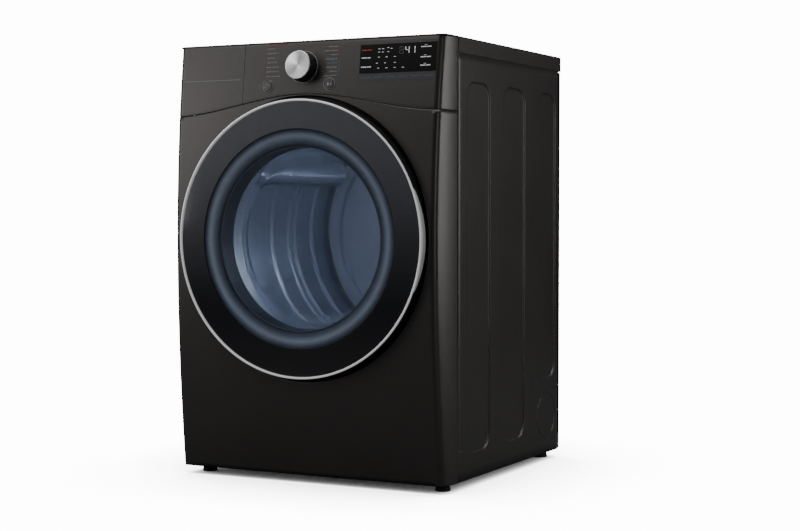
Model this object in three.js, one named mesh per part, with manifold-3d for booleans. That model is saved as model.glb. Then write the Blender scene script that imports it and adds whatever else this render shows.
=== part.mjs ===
// Front-load clothes dryer, full size, built in millimetres with +Z up.
// The origin is the bottom centre of the whole machine; the door faces -Y.
// Sheet metal is drawn thicker than life so that every panel is a sound solid.
import * as THREE from 'three';
import { mergeVertices } from 'three/addons/utils/BufferGeometryUtils.js';
import Module from 'manifold-3d';

const wasm = await Module();
wasm.setup();

// ---------------------------------------------------------------- dimensions
const HALF_WIDTH = 343;          // half the cabinet width
const HEIGHT = 991;              // top of the top cover
const BASE = 20;                 // underside of the base pan
const BACK = 322.4;              // rear face of the rear panel
const SHEET = 2;                 // wall thickness of panels and mouldings
const GAP = 0.4;                 // clearance left between neighbouring pieces
const WRAP = -272;               // where the front skin stops on the side
const BOW = { edge: -331.5, depth: 33, z: 537, up: 454, down: 517 };
const CORNER = 17;               // radius of the front vertical corners
const SEAM = { side: 828, rise: 43 };   // line between fascia and front cover
const DRAWER_SPLIT = -160;       // vertical seam right of the water drawer
const SKIRT = 955;               // lower edge of the top cover skirt
const FASCIA_TOP = 987.4;

const DOOR = { z: 550, r: 310, front: -382.5, recess: 316.5, floor: -340, hole: 262 };
const HINGE = { x: -302, y: -371, pin: 2.5, knuckle: 4.5, relief: 16 };
const DRUM = { z: 560, r: 318, front: -222, rear: 295 };
const ROLLER = { r: 35, angle: 35, gap: 0.4, axle: 6 };
const TUNNEL = { r: 240, front: -333 };
const BULKHEAD = { front: -229, rear: 299 };
const ROTOR = { x: 125, z: 125, pulley: 10 };
const BELT = { y: 42, width: 10, thick: 2.4, drum: 319.4, pulley: 10.6 };
const IDLER = { r: 22, along: 0.4, armX: 64, armZ: -38.5 };
const EXHAUST = { x: 0, z: 85, r: 51, end: 382.5 };
const FOOT = { x: 305, front: -268, rear: 288, pad: 17, neck: 12.5, stem: 5.6 };
const KNOB = { x: -4, z: 931, r: 32.5, depth: 28 };
const POWER = { x: -94, z: 891.5 };
const START = { x: 64, z: 891 };
const BUTTON = { r: 13.2, proud: 0.8 };
const DISPLAY = { x: [137.5, 323.5], z: [911, 974] };
const BAFFLE_ANGLES = [150, 270, 30];

// ------------------------------------------------------------------- colours
const PAINT = { colour: 0x474443, metalness: 0.5, roughness: 0.45 };
const STEEL = { colour: 0xb9bdc2, metalness: 0.9, roughness: 0.35 };
const CHROME = { colour: 0xe8e8ea, metalness: 1, roughness: 0.12 };
const BLACK = { colour: 0x151516, metalness: 0, roughness: 0.35 };
const GREY = { colour: 0x8b8e92, metalness: 0, roughness: 0.6 };
const GLASS = { colour: 0x6f8296, metalness: 0, roughness: 0.08 };
const RUBBER = { colour: 0x202022, metalness: 0, roughness: 0.9 };
const FELT = { colour: 0x9a958a, metalness: 0, roughness: 1 };
const BOARD = { colour: 0x2f5a3a, metalness: 0, roughness: 0.6 };

// ------------------------------------------------------------- small helpers
const radians = (degrees) => (degrees * Math.PI) / 180;

/** A closed three.js geometry as a solid that can be joined or cut. */
function solid(geometry) {
  let welded = geometry;
  if (!geometry.userData.welded) {
    const bare = geometry.clone();
    bare.deleteAttribute('normal');
    bare.deleteAttribute('uv');
    welded = mergeVertices(bare, 1e-4);
  }
  const index = welded.index.array;
  const kept = [];
  for (let i = 0; i < index.length; i += 3) {
    const [a, b, c] = [index[i], index[i + 1], index[i + 2]];
    if (a !== b && b !== c && c !== a) kept.push(a, b, c);
  }
  return new wasm.Manifold(new wasm.Mesh({
    numProp: 3,
    vertProperties: welded.attributes.position.array,
    triVerts: Uint32Array.from(kept),
  }));
}

/** A solid turned back into a three.js geometry. */
function geometryOf(body) {
  const mesh = body.getMesh();
  const geometry = new THREE.BufferGeometry();
  geometry.setAttribute('position', new THREE.BufferAttribute(mesh.vertProperties, 3));
  geometry.setIndex(new THREE.BufferAttribute(mesh.triVerts, 1));
  geometry.computeVertexNormals();
  geometry.userData.welded = true;
  return geometry;
}

const join = (...shapes) => geometryOf(shapes.map(solid).reduce((a, b) => a.add(b)));

const cut = (shape, ...tools) =>
  geometryOf(tools.map(solid).reduce((a, b) => a.subtract(b), solid(shape)));

const common = (...shapes) => geometryOf(shapes.map(solid).reduce((a, b) => a.intersect(b)));

/** Box between two corners, given as [low, high] along each axis. */
function box(x, y, z) {
  const size = [x, y, z].map(([low, high]) => Math.abs(high - low));
  const geometry = new THREE.BoxGeometry(...size);
  geometry.translate((x[0] + x[1]) / 2, (y[0] + y[1]) / 2, (z[0] + z[1]) / 2);
  return geometry;
}

/** Turned shape about the Y axis through (x, z) from a closed [radius, y] profile. */
function turned(profile, x = 0, z = 0, segments = 64) {
  const points = profile.map(([r, y]) => new THREE.Vector2(r, y));
  if (THREE.ShapeUtils.area(points) < 0) points.reverse();
  points.push(points[0].clone());
  const geometry = new THREE.LatheGeometry(points, segments);
  geometry.translate(x, 0, z);
  return geometry;
}

/** Ring between two radii along Y. */
const ring = (inner, outer, y, x = 0, z = 0, segments = 64) =>
  turned([[inner, y[0]], [outer, y[0]], [outer, y[1]], [inner, y[1]]], x, z, segments);

/** Round bar along Y. */
const rodY = (r, y, x = 0, z = 0, segments = 28) => ring(0, r, y, x, z, segments);

/** Round bar along Z. */
function rodZ(r, z, x = 0, y = 0, segments = 32) {
  const geometry = turned([[0, z[0]], [r, z[0]], [r, z[1]], [0, z[1]]], 0, 0, segments);
  geometry.rotateX(Math.PI / 2);
  geometry.translate(x, y, 0);
  return geometry;
}

/** Round bar along X. */
function rodX(r, x, y = 0, z = 0, segments = 32) {
  const geometry = turned([[0, x[0]], [r, x[0]], [r, x[1]], [0, x[1]]], 0, 0, segments);
  geometry.rotateZ(-Math.PI / 2);
  geometry.translate(0, y, z);
  return geometry;
}

/** Flat outline pushed along an axis: 'x' takes (y, z), 'y' (x, z), 'z' (x, y). */
function prism(axis, outline, [from, to], holes = []) {
  const path = (points) => points.map(([u, v]) => new THREE.Vector2(u, v));
  const shape = new THREE.Shape(path(outline));
  shape.holes = holes.map((points) => new THREE.Path(path(points)));
  const geometry = new THREE.ExtrudeGeometry(shape, { depth: to - from, bevelEnabled: false });
  const [x, y, z] = [[1, 0, 0], [0, 1, 0], [0, 0, 1]].map((v) => new THREE.Vector3(...v));
  const turn = new THREE.Matrix4();
  if (axis === 'x') turn.makeBasis(y, z, x);
  if (axis === 'y') turn.makeBasis(x, z, y.clone().negate());
  geometry.translate(0, 0, axis === 'y' ? -to : from);
  geometry.applyMatrix4(turn);
  return geometry;
}

/** Points of an arc from one angle to another, in degrees. */
function arc(cu, cv, r, from, to, steps) {
  return Array.from({ length: steps + 1 }, (_, i) => {
    const t = radians(from + ((to - from) * i) / steps);
    return [cu + r * Math.cos(t), cv + r * Math.sin(t)];
  });
}

const circle = (cu, cv, r, steps = 32) => arc(cu, cv, r, 0, 360 - 360 / steps, steps - 1);

/** Rectangle with rounded corners. */
function rounded([u0, u1], [v0, v1], r, steps = 5) {
  return [
    ...arc(u1 - r, v1 - r, r, 0, 90, steps),
    ...arc(u0 + r, v1 - r, r, 90, 180, steps),
    ...arc(u0 + r, v0 + r, r, 180, 270, steps),
    ...arc(u1 - r, v0 + r, r, 270, 360, steps),
  ];
}

/** Open box: outer block with a smaller block taken out. */
const tray = (outer, inner) => cut(box(...outer), box(...inner));

/** A named piece with its own material. */
function piece(name, geometry, look) {
  const material = new THREE.MeshStandardMaterial({
    color: look.colour,
    metalness: look.metalness,
    roughness: look.roughness,
  });
  const mesh = new THREE.Mesh(geometry.userData.welded ? geometry : join(geometry), material);
  mesh.name = name;
  return mesh;
}

// ---------------------------------------------------------- the bowed front
/** Forward position of the bowed front at a height. */
function frontY(z) {
  const reach = z > BOW.z ? BOW.up : BOW.down;
  return BOW.edge - BOW.depth * (1 - ((z - BOW.z) / reach) ** 2);
}

/** Lean of the front at a height: rotation about X that lays -Y on its normal. */
function frontTilt(z) {
  const reach = z > BOW.z ? BOW.up : BOW.down;
  return -Math.atan((2 * BOW.depth * (z - BOW.z)) / reach ** 2);
}

/** Solid block behind the bowed front, shrunk by an inset, between two heights. */
function frontBlock(inset, [z0, z1], back) {
  const x = HALF_WIDTH - inset;
  const r = CORNER - inset;
  const steps = 10;
  const positions = [];
  const index = [];
  let count = 0;
  for (let k = 0; k <= steps; k += 1) {
    const z = z0 + ((z1 - z0) * k) / steps;
    const y = frontY(z) + inset;
    const loop = [
      [-x, back],
      ...arc(-x + r, y + r, r, 180, 270, 5),
      ...arc(x - r, y + r, r, 270, 360, 5),
      [x, back],
    ];
    loop.forEach(([px, py]) => positions.push(px, py, z));
    count = loop.length;
  }
  for (let k = 0; k < steps; k += 1) {
    for (let i = 0; i < count; i += 1) {
      const a = k * count + i;
      const b = k * count + ((i + 1) % count);
      index.push(a, b, b + count, a, b + count, a + count);
    }
  }
  for (let i = 1; i < count - 1; i += 1) {
    index.push(0, i + 1, i);
    index.push(steps * count, steps * count + i, steps * count + i + 1);
  }
  const geometry = new THREE.BufferGeometry();
  geometry.setAttribute('position', new THREE.Float32BufferAttribute(positions, 3));
  geometry.setIndex(index);
  return geometry;
}

/** Height of the seam between fascia and front cover at a distance from centre. */
function seamZ(x) {
  const s = Math.min(1, Math.abs(x) / HALF_WIDTH);
  return SEAM.side + SEAM.rise * (1 - s) ** 2 * (1 + 2 * s);
}

/** Everything above (or below) the seam, left `shift` away from it. */
function seamRegion(shift, far) {
  const edge = Array.from({ length: 29 }, (_, i) => {
    const x = -350 + 25 * i;
    return [x, seamZ(x) + shift];
  });
  return prism('y', [...edge, [350, far], [-350, far]], [-420, -200]);
}

const frontSolid = () => frontBlock(0, [BASE, FASCIA_TOP], WRAP);

const frontSkin = () =>
  cut(frontSolid(), frontBlock(SHEET, [BASE - 5, FASCIA_TOP - SHEET], WRAP + 20));

// -------------------------------------------------------------- the cabinet
function basePan() {
  const pan = tray(
    [[-339.5, 339.5], [-312, 318.5], [BASE, 58]],
    [[-337.5, 337.5], [-310, 316.5], [BASE + SHEET, 60]],
  );
  const holes = footPlaces().map(([, x, y]) => rodZ(6.4, [BASE - 1, 30], x, y, 20));
  const notch = rodY(EXHAUST.r + 3, [300, 330], EXHAUST.x, EXHAUST.z);
  return piece('base_pan', cut(pan, notch, ...holes), STEEL);
}

/** Side panel with three pressed-in ribs and a round vent blank; side is -1 or 1. */
function sidePanel(name, side) {
  const x = (a, b) => [side * a, side * b].sort((p, q) => p - q);
  const ribs = [
    rounded([-228, -103], [76, 897], 38, 3),
    rounded([-30, 96], [76, 897], 38, 3),
    rounded([173, 287], [203, 896], 38, 3),
  ];
  const smaller = [
    rounded([-225, -106], [79, 894], 35, 3),
    rounded([-27, 93], [79, 894], 35, 3),
    rounded([176, 284], [206, 893], 35, 3),
  ];
  const sheet = box(x(341, HALF_WIDTH), [WRAP + 0.8, 320], [BASE, SKIRT - 0.5]);
  const flange = box(x(318, 342), [318, 320], [60, 952]);
  const pads = ribs.map((outline) => prism('x', outline, x(338, 341.5)));
  const pockets = smaller.map((outline) => prism('x', outline, x(340, 344)));
  const blank = prism('x', circle(230, 112, 56.5, 28), x(342, 344), [circle(230, 112, 54, 28)]);
  return piece(name, cut(join(sheet, flange, ...pads), ...pockets, blank), PAINT);
}

function rearPanel() {
  const outline = [[-340.3, 21], [340.3, 21], [340.3, 953], [-340.3, 953]];
  const holes = [circle(EXHAUST.x, EXHAUST.z, EXHAUST.r + 2), rounded([240, 290], [820, 880], 6, 2)];
  for (let row = 0; row < 6; row += 1) {
    holes.push(rounded([-300, -150], [300 + row * 22, 308 + row * 22], 4, 3));
  }
  return piece('rear_panel', prism('y', outline, [BACK - SHEET, BACK], holes), STEEL);
}

function topCover() {
  const front = BOW.edge;
  const outline = [
    ...arc(-HALF_WIDTH + CORNER, front + CORNER, CORNER, 180, 270, 6),
    ...arc(HALF_WIDTH - CORNER, front + CORNER, CORNER, 270, 360, 6),
    [HALF_WIDTH, 325],
    [-HALF_WIDTH, 325],
  ];
  const plate = prism('z', outline, [988, HEIGHT]);
  const skirt = tray(
    [[-HALF_WIDTH, HALF_WIDTH], [WRAP + 0.8, 325], [SKIRT, 989]],
    [[-HALF_WIDTH + SHEET, HALF_WIDTH - SHEET], [WRAP - 5, 325 - SHEET], [SKIRT - 1, 990]],
  );
  return piece('top_cover', join(plate, skirt), PAINT);
}

function frontCover() {
  const region = seamRegion(-GAP, 0);
  const opening = rodY(DOOR.recess + SHEET / 2, [-420, -342], 0, DOOR.z, 56);
  const sheet = cut(common(frontSkin(), region), opening);
  const dish = turned([
    [DOOR.recess, -400],
    [DOOR.recess + SHEET, -400],
    [DOOR.recess + SHEET, DOOR.floor + SHEET],
    [DOOR.hole, DOOR.floor + SHEET],
    [DOOR.hole, DOOR.floor],
    [DOOR.recess, DOOR.floor],
  ], 0, DOOR.z, 56);
  const trimmed = common(dish, frontSolid(), region);
  const span = [DOOR.z - 112, DOOR.z + 112];
  const cheek = cut(
    common(rodZ(HINGE.relief + SHEET, [span[0] - 2, span[1] + 2], HINGE.x, HINGE.y, 40), frontSolid()),
    rodY(DOOR.recess, [-420, -300], 0, DOOR.z, 56),
  );
  const relief = rodZ(HINGE.relief, span, HINGE.x, HINGE.y, 40);
  const latchSlot = box([277, 295], [-345, -330], [538, 562]);
  return piece('front_cover', cut(join(sheet, trimmed, cheek), relief, latchSlot), PAINT);
}

function controlFascia() {
  const side = box([DRAWER_SPLIT + GAP, 400], [-420, -200], [800, 1000]);
  const wall = common(
    frontSolid(),
    seamRegion(GAP, 1200),
    box([DRAWER_SPLIT + GAP, DRAWER_SPLIT + GAP + SHEET], [-420, -300], [800, 1000]),
  );
  const shell = join(common(frontSkin(), seamRegion(GAP, 1200), side), wall);
  const window = box(
    [DISPLAY.x[0] - 0.3, DISPLAY.x[1] + 0.3],
    [-380, -300],
    [DISPLAY.z[0] - 0.3, DISPLAY.z[1] + 0.3],
  );
  const holes = [
    onFront(rodY(4, [-8, 12], 0, 0, 24), KNOB),
    onFront(rodY(BUTTON.r + 0.7, [-8, 12], 0, 0, 28), POWER),
    onFront(rodY(BUTTON.r + 0.7, [-8, 12], 0, 0, 28), START),
  ];
  return piece('control_fascia', cut(shell, window, ...holes), PAINT);
}

/** A shape drawn round the Y axis, laid on the bowed front at a place. */
function onFront(geometry, place) {
  const moved = geometry.clone();
  moved.rotateX(frontTilt(place.z));
  moved.translate(place.x, frontY(place.z), place.z);
  return moved;
}

function frontCrossRail() {
  const outline = [[-338, 876], [-150, 876], [-120, 882], [338, 882], [338, 950], [-338, 950]];
  const lower = [[-338, 835], [-300, 835], [-150, 876], [-338, 876.5]];
  const hole = box([-333.5, -166.5], [-275, -260], [851.5, 940.5]);
  const rail = join(prism('y', outline, [-268, -266]), prism('y', lower, [-268, -266]));
  const frame = box([-338, -160], [-268, -266], [846, 876.5]);
  return piece('front_cross_rail', cut(join(rail, frame), hole), STEEL);
}

function displayWindow() {
  const region = box(DISPLAY.x, [-380, -300], DISPLAY.z);
  return piece('display_window', common(frontSkin(), region), BLACK);
}

function controlBoard() {
  const tray1 = box([-70, 330], [-322, -300], [884, 968]);
  const pegs = [[-60, 930], [-60, 960], [320, 930], [320, 960]].map(([x, z]) =>
    rodY(5, [-301, -268.5], x, z, 16));
  return piece('control_board', join(tray1, ...pegs), BOARD);
}

// ------------------------------------------------- bulkheads, seals, air path
/** Centres of the four drum rollers as [name, x, z, yFrom, yTo]. */
function rollerPlaces() {
  const reach = DRUM.r + ROLLER.r + ROLLER.gap;
  const x = reach * Math.sin(radians(ROLLER.angle));
  const z = DRUM.z - reach * Math.cos(radians(ROLLER.angle));
  return [
    ['drum_roller_front_left', -x, z, -214, -189],
    ['drum_roller_front_right', x, z, -214, -189],
    ['drum_roller_rear_left', -x, z, 262, 287],
    ['drum_roller_rear_right', x, z, 262, 287],
  ];
}

function frontBulkhead() {
  const y = BULKHEAD.front;
  const outline = [
    [-338, 60], [338, 60], [338, 832], [250, 882], [-140, 882], [-158, 846],
    [-338, 846],
  ];
  const holes = [circle(0, DOOR.z, TUNNEL.r + 1, 64), circle(ROTOR.x, ROTOR.z, 46)];
  const plate = prism('y', outline, [y, y + SHEET], holes);
  const collar = ring(TUNNEL.r, TUNNEL.r + SHEET, [TUNNEL.front, y + SHEET], 0, DOOR.z);
  const slot = box([-83.5, 83.5], [-253.5, -238.5], [280, 340]);
  const axles = rollerPlaces().slice(0, 2).map(([, x, z, , to]) =>
    rodY(ROLLER.axle, [y + 1, to + 4], x, z, 20));
  return piece('front_bulkhead', join(cut(join(plate, collar), slot), ...axles), STEEL);
}

function rearBulkhead() {
  const y = BULKHEAD.rear;
  const outline = [[-338, 60], [338, 60], [338, 940], [-338, 940]];
  const holes = [rounded([-282, -148], [70, 172], 8, 3)];
  for (let i = 0; i < 5; i += 1) {
    for (let j = 0; j < 4; j += 1) {
      holes.push(circle(-72 + 36 * i, 560 + 36 * j, 11, 8));
    }
  }
  const notch = rodY(EXHAUST.r + 2, [y - 5, y + 5], EXHAUST.x, EXHAUST.z);
  const plate = cut(prism('y', outline, [y, y + SHEET], holes), notch);
  const axles = rollerPlaces().slice(2).map(([, x, z, from]) =>
    rodY(ROLLER.axle, [from - 4, y + 1], x, z, 20));
  return piece('rear_bulkhead', join(plate, ...axles), STEEL);
}

const drumSealFront = () =>
  piece('drum_seal_front', ring(304, 317, [-226.5, -222.5], 0, DRUM.z, 48), FELT);

const drumSealRear = () =>
  piece('drum_seal_rear', ring(302, 317, [295.5, 298.5], 0, DRUM.z, 48), FELT);

function doorGasket() {
  const profile = [[243, -342.4], [261, -342.4], [261, -335], [243, -335]];
  return piece('door_gasket', turned(profile, 0, DOOR.z, 56), RUBBER);
}

function lintDuct() {
  const shell = tray(
    [[-110, 190], [-266, -229.4], [62, 318]],
    [[-108, 188], [-264, -231.4], [64, 316]],
  );
  const inlet = rodY(TUNNEL.r + SHEET + 1.5, [-280, -220], 0, DOOR.z, 64);
  const outlet = rodY(45, [-240, -220], ROTOR.x, ROTOR.z);
  const slot = box([-84, 84], [-253.5, -238.5], [312, 322]);
  return piece('lint_duct', cut(shell, inlet, outlet, slot), GREY);
}

function lintFilter() {
  const panel = tray(
    [[-82, 82], [-251.5, -240.5], [205, 318]],
    [[-76, 76], [-249, -230], [211, 312]],
  );
  const mesh = box([-77, 77], [-250, -248.8], [210, 313]);
  const bars = [-38, 0, 38].map((x) => box([x - 1.5, x + 1.5], [-250, -242], [210, 313]));
  const grip = box([-40, 40], [-251.5, -240.5], [316, 327]);
  const scoop = box([-26, 26], [-247, -238], [319.5, 324]);
  return piece('lint_filter', cut(join(panel, mesh, ...bars, grip), scoop), GREY);
}

function blowerHousing() {
  const y = [-225, -165];
  const inside = [y[0] + SHEET, y[1] - SHEET];
  const scroll = join(rodY(88, y, ROTOR.x, ROTOR.z, 40), box([-56, ROTOR.x], y, [30, 139]));
  const hollow = join(
    rodY(86, inside, ROTOR.x, ROTOR.z, 40),
    box([-54, ROTOR.x], inside, [32, 137]),
  );
  const inlet = rodY(44, [-230, -220], ROTOR.x, ROTOR.z);
  const shaft = rodY(8, [-170, -160], ROTOR.x, ROTOR.z, 24);
  const outlet = rodY(EXHAUST.r - SHEET, [-170, -160], EXHAUST.x, EXHAUST.z);
  return piece('blower_housing', cut(scroll, hollow, inlet, shaft, outlet), GREY);
}

const exhaustDuct = () => piece('exhaust_duct',
  ring(EXHAUST.r - SHEET, EXHAUST.r, [-164.6, EXHAUST.end], EXHAUST.x, EXHAUST.z, 48), STEEL);

function heaterHousing() {
  const shell = tray(
    [[-294, -130], [20, 297], [40, 190]],
    [[-292, -132], [22, 295], [42, 188]],
  );
  const outlet = box([-280, -150], [290, 300], [72, 170]);
  const intake = box([-280, -150], [15, 25], [60, 170]);
  return piece('heater_housing', cut(shell, outlet, intake), STEEL);
}

function heaterElement() {
  const bars = [];
  for (let i = 0; i < 6; i += 1) {
    const x = -280 + 24 * i;
    bars.push(box([x, x + 8], [60, 260], [108, 116]));
    const end = i % 2 === 0 ? [252, 260] : [60, 68];
    if (i < 5) bars.push(box([x, x + 32], end, [108, 116]));
  }
  return piece('heater_element', join(...bars), STEEL);
}

function rearAirDuct() {
  const outline = [
    [-292, 60], [-138, 60], [-138, 200], [110, 500], [110, 700], [-110, 700], [-110, 560], [-292, 260],
  ];
  const inner = [
    [-289, 63], [-141, 63], [-141, 202], [107, 501], [107, 697], [-107, 697], [-107, 559], [-289, 259],
  ];
  const shell = prism('y', outline, [303, 319]);
  return piece('rear_air_duct', cut(shell, prism('y', inner, [300, 317])), STEEL);
}

// ------------------------------------------------------ motor, belt and idler
function motorHousing() {
  const can = rodY(58, [-140, 20], ROTOR.x, ROTOR.z, 40);
  const legs = box([ROTOR.x - 50, ROTOR.x + 50], [-120, 0], [BASE + SHEET + GAP, 90]);
  const bore = rodY(6.5, [-150, 30], ROTOR.x, ROTOR.z, 24);
  const hollow = rodY(52, [-134, 14], ROTOR.x, ROTOR.z, 40);
  const arch = box([ROTOR.x - 44, ROTOR.x + 44], [-130, 10], [10, 62]);
  return piece('motor_housing', cut(join(can, legs), bore, hollow, arch), STEEL);
}

function motorShaft() {
  const { y, width } = BELT;
  const profile = [
    [0, -214], [5, -214], [5, y - 4], [14, y - 4], [14, y - 1.5], [ROTOR.pulley, y - 1.5],
    [ROTOR.pulley, y + width + 1.5], [14, y + width + 1.5], [14, y + width + 4],
    [5, y + width + 4], [5, y + width + 10], [0, y + width + 10],
  ];
  return piece('motor_shaft', turned(profile, ROTOR.x, ROTOR.z, 24), STEEL);
}

function blowerWheel() {
  const disc = ring(5.5, 76, [-178, -175.5], 0, 0, 28);
  const hub = ring(5.5, 12, [-205, -176], 0, 0, 24);
  const rim = ring(71, 76, [-216, -213], 0, 0, 28);
  const blades = Array.from({ length: 12 }, (_, i) => {
    const blade = box([52, 75], [-214, -177], [-1, 1]);
    blade.rotateY(radians(30 * i));
    return blade;
  });
  const wheel = join(disc, hub, rim, ...blades);
  wheel.translate(ROTOR.x, 0, ROTOR.z);
  return piece('blower_wheel', wheel, GREY);
}

/** Direction from drum to pulley and half the wrap lost between the two circles. */
function beltAngles() {
  const dx = ROTOR.x;
  const dz = ROTOR.z - DRUM.z;
  const along = (Math.atan2(dz, dx) * 180) / Math.PI;
  const spread = (Math.acos((BELT.drum - BELT.pulley) / Math.hypot(dx, dz)) * 180) / Math.PI;
  return { along, spread };
}

/** Loop round drum and pulley, grown by an offset. */
function beltLoop(offset) {
  const { along, spread } = beltAngles();
  return [
    ...arc(0, DRUM.z, BELT.drum + offset, along + spread, along - spread + 360, 56),
    ...arc(ROTOR.x, ROTOR.z, BELT.pulley + offset, along - spread, along + spread, 12),
  ];
}

function driveBelt() {
  const loop = prism('y', beltLoop(BELT.thick), [BELT.y, BELT.y + BELT.width], [beltLoop(0)]);
  return piece('drive_belt', loop, RUBBER);
}

/** Centre of the idler wheel, resting on the outside of the left belt span. */
function idlerCentre() {
  const { along, spread } = beltAngles();
  const t = radians(along - spread);
  const normal = [Math.cos(t), Math.sin(t)];
  const start = [BELT.drum * normal[0], DRUM.z + BELT.drum * normal[1]];
  const end = [ROTOR.x + BELT.pulley * normal[0], ROTOR.z + BELT.pulley * normal[1]];
  const out = BELT.thick + 0.4 + IDLER.r;
  return [0, 1].map((k) => start[k] + (end[k] - start[k]) * IDLER.along + normal[k] * out);
}

function idlerWheel() {
  const [x, z] = idlerCentre();
  const { y, width } = BELT;
  const wheel = ring(4.5, IDLER.r, [y - 2, y + width + 2], 0, 0, 32);
  const mesh = piece('idler_wheel', wheel, GREY);
  mesh.position.set(x, 0, z);
  return mesh;
}

function idlerArm() {
  const { y, width } = BELT;
  const length = Math.hypot(IDLER.armX, IDLER.armZ);
  const plate = box([0, length], [y - 6, y - 3], [-7, 7]);
  const ends = join(rodY(7, [y - 6, y - 3], 0, 0, 20), rodY(9, [y - 6, y - 3], length, 0, 24));
  const pin = rodY(4, [y - 5, y + width + 4], 0, 0, 20);
  const bore = rodY(4.6, [y - 8, y], length, 0, 20);
  const arm = cut(join(plate, ends, pin), bore);
  const [x, z] = idlerCentre();
  const mesh = piece('idler_arm', arm, STEEL);
  mesh.position.set(x, 0, z);
  mesh.rotation.y = Math.atan2(-IDLER.armZ, IDLER.armX);
  return mesh;
}

function idlerBracket() {
  const [cx, cz] = idlerCentre();
  const [x, z] = [cx + IDLER.armX, cz + IDLER.armZ];
  const { y } = BELT;
  const beam = box([x - 12, 76], [y - 14, y - 7], [z - 10, z + 12]);
  const post = box([56, 76], [y - 14, y - 7], [BASE + SHEET + GAP, z + 12]);
  const foot = box([54, 72], [y - 34, y - 7], [BASE + SHEET + GAP, BASE + SHEET + 4]);
  const pin = rodY(4, [y - 8, y + 2], x, z, 20);
  return piece('idler_bracket', join(beam, post, foot, pin), STEEL);
}

// ------------------------------------------------------------------ the drum
function drumShell() {
  const { r, front, rear } = DRUM;
  const profile = [
    [r - 16, front], [r, front], [r, rear], [r - 16, rear], [r - 16, rear - 2],
    [r - 2, rear - 2], [r - 2, front + 2], [r - 16, front + 2],
  ];
  const mesh = piece('drum_shell', turned(profile, 0, 0, 64), STEEL);
  mesh.position.set(0, 0, DRUM.z);
  return mesh;
}

/** Lifting paddle inside the drum at an angle, drawn at the drum's right and turned. */
function drumBaffle(name, degrees) {
  const outline = [[310, -42], [310, 42], [290, 34], [262, 17], [254, 8], [254, -8], [262, -17], [290, -34]];
  const body = prism('y', outline, [-205, 278]);
  const mesh = piece(name, body, GREY);
  mesh.rotation.y = -radians(degrees);
  mesh.position.set(0, 0, DRUM.z);
  return mesh;
}

function drumRoller([name, x, z, from, to]) {
  const profile = [
    [ROLLER.axle + 0.6, from], [14, from], [ROLLER.r, from + 4],
    [ROLLER.r, to - 4], [14, to], [ROLLER.axle + 0.6, to],
  ];
  const mesh = piece(name, turned(profile, 0, 0, 28), RUBBER);
  mesh.position.set(x, 0, z);
  return mesh;
}

// ------------------------------------------------------------------ the door
/** Room swept by the fixed hinge ears, taken out of the door's hidden pieces. */
const hingePocket = () => rodZ(44, [501, 599], HINGE.x, HINGE.y, 40);

/** Crescent at the door's right edge; `grow` widens it to leave clearance. */
function crescent(inner, outer, grow) {
  const sagitta = 13 + grow;
  const half = 118 + grow * 6;
  const r = (half ** 2 + sagitta ** 2) / (2 * sagitta);
  const front = -376.4;
  return common(
    ring(inner, outer, [front - grow, front + 30], 0, DOOR.z, 72),
    rodX(r, [200, 330], front + sagitta - r, DOOR.z, 180),
  );
}

function doorTrim() {
  const { r, front } = DOOR;
  const profile = [
    [r - 6.4, front + 1.2], [r - 5.6, front], [r - 1.8, front], [r, front + 1.6],
    [r, front + 5.7], [r - 6.4, front + 5.7],
  ];
  return piece('door_trim', turned(profile, 0, DOOR.z, 72), CHROME);
}

const doorGlass = () => piece('door_glass', rodY(303, [-380.6, -376.6], 0, DOOR.z, 72), GLASS);

function doorHandle() {
  const grip = crescent(304, DOOR.r, 0);
  return piece('door_handle', grip, CHROME);
}

function doorFrame() {
  const profile = [
    [233, -376.2], [309.5, -376.2], [309.5, -350], [307, -344], [304.5, -344], [306.5, -350.5],
    [306.5, -373.2], [233, -373.2],
  ];
  const frame = turned(profile, 0, DOOR.z, 72);
  return piece('door_frame', cut(frame, crescent(303, 312, 0.5), hingePocket()), BLACK);
}

function doorInnerCover() {
  const profile = [
    [230.5, -372.6], [233, -372.6], [236, -350], [302, -347], [302, -344.4], [234, -344.4],
    [231.5, -347],
  ];
  const strikeHole = box([277, 295], [-350, -340], [538, 562]);
  const cover = turned(profile, 0, DOOR.z, 72);
  return piece('door_inner_cover', cut(cover, hingePocket(), strikeHole), GREY);
}

function doorWindow() {
  const profile = [
    [0, -262], [184, -262], [199, -272], [227, -369], [229.8, -369], [229.8, -373], [224, -373],
    [195.5, -274], [183, -266], [0, -266],
  ];
  return piece('door_window', turned(profile, 0, DOOR.z, 40), GLASS);
}

function hingeBracket() {
  const { x, y, knuckle, pin } = HINGE;
  const ear = [
    ...arc(x, y, knuckle, 90, 270, 10),
    [x + 22, y - knuckle], [x + 32, y + 4], [x + 32, y + 28], [x + 14, y + 28], [x + 14, y + 7],
    [x + 11, y + knuckle],
  ];
  const plate = box([x + 12, x + 37], [y + 27.6, y + 30.6], [490, 610]);
  const ears = [[505, 519], [581, 595]].map((z) => prism('z', ear, z));
  const rod = rodZ(pin, [504, 596], x, y, 20);
  return piece('hinge_bracket', join(plate, ...ears, rod), STEEL);
}

function doorHingeArm() {
  const { x, y, knuckle, pin } = HINGE;
  const barrel = rodZ(knuckle, [519.6, 580.4], x, y, 24);
  const leaf = box([x, x + 66], [y - 1.8, y + 1.4], [524, 576]);
  const bore = rodZ(pin + 0.4, [500, 600], x, y, 20);
  return piece('door_hinge_arm', cut(join(barrel, leaf), bore), STEEL);
}

function doorStrike() {
  const plate = box([272, 300], [-351.6, -348.8], [532, 568]);
  const hook = box([283, 287], [-349, -327], [545, 555]);
  const beak = box([283, 290], [-331, -327], [545, 555]);
  return piece('door_strike', join(plate, hook, beak), STEEL);
}

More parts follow.
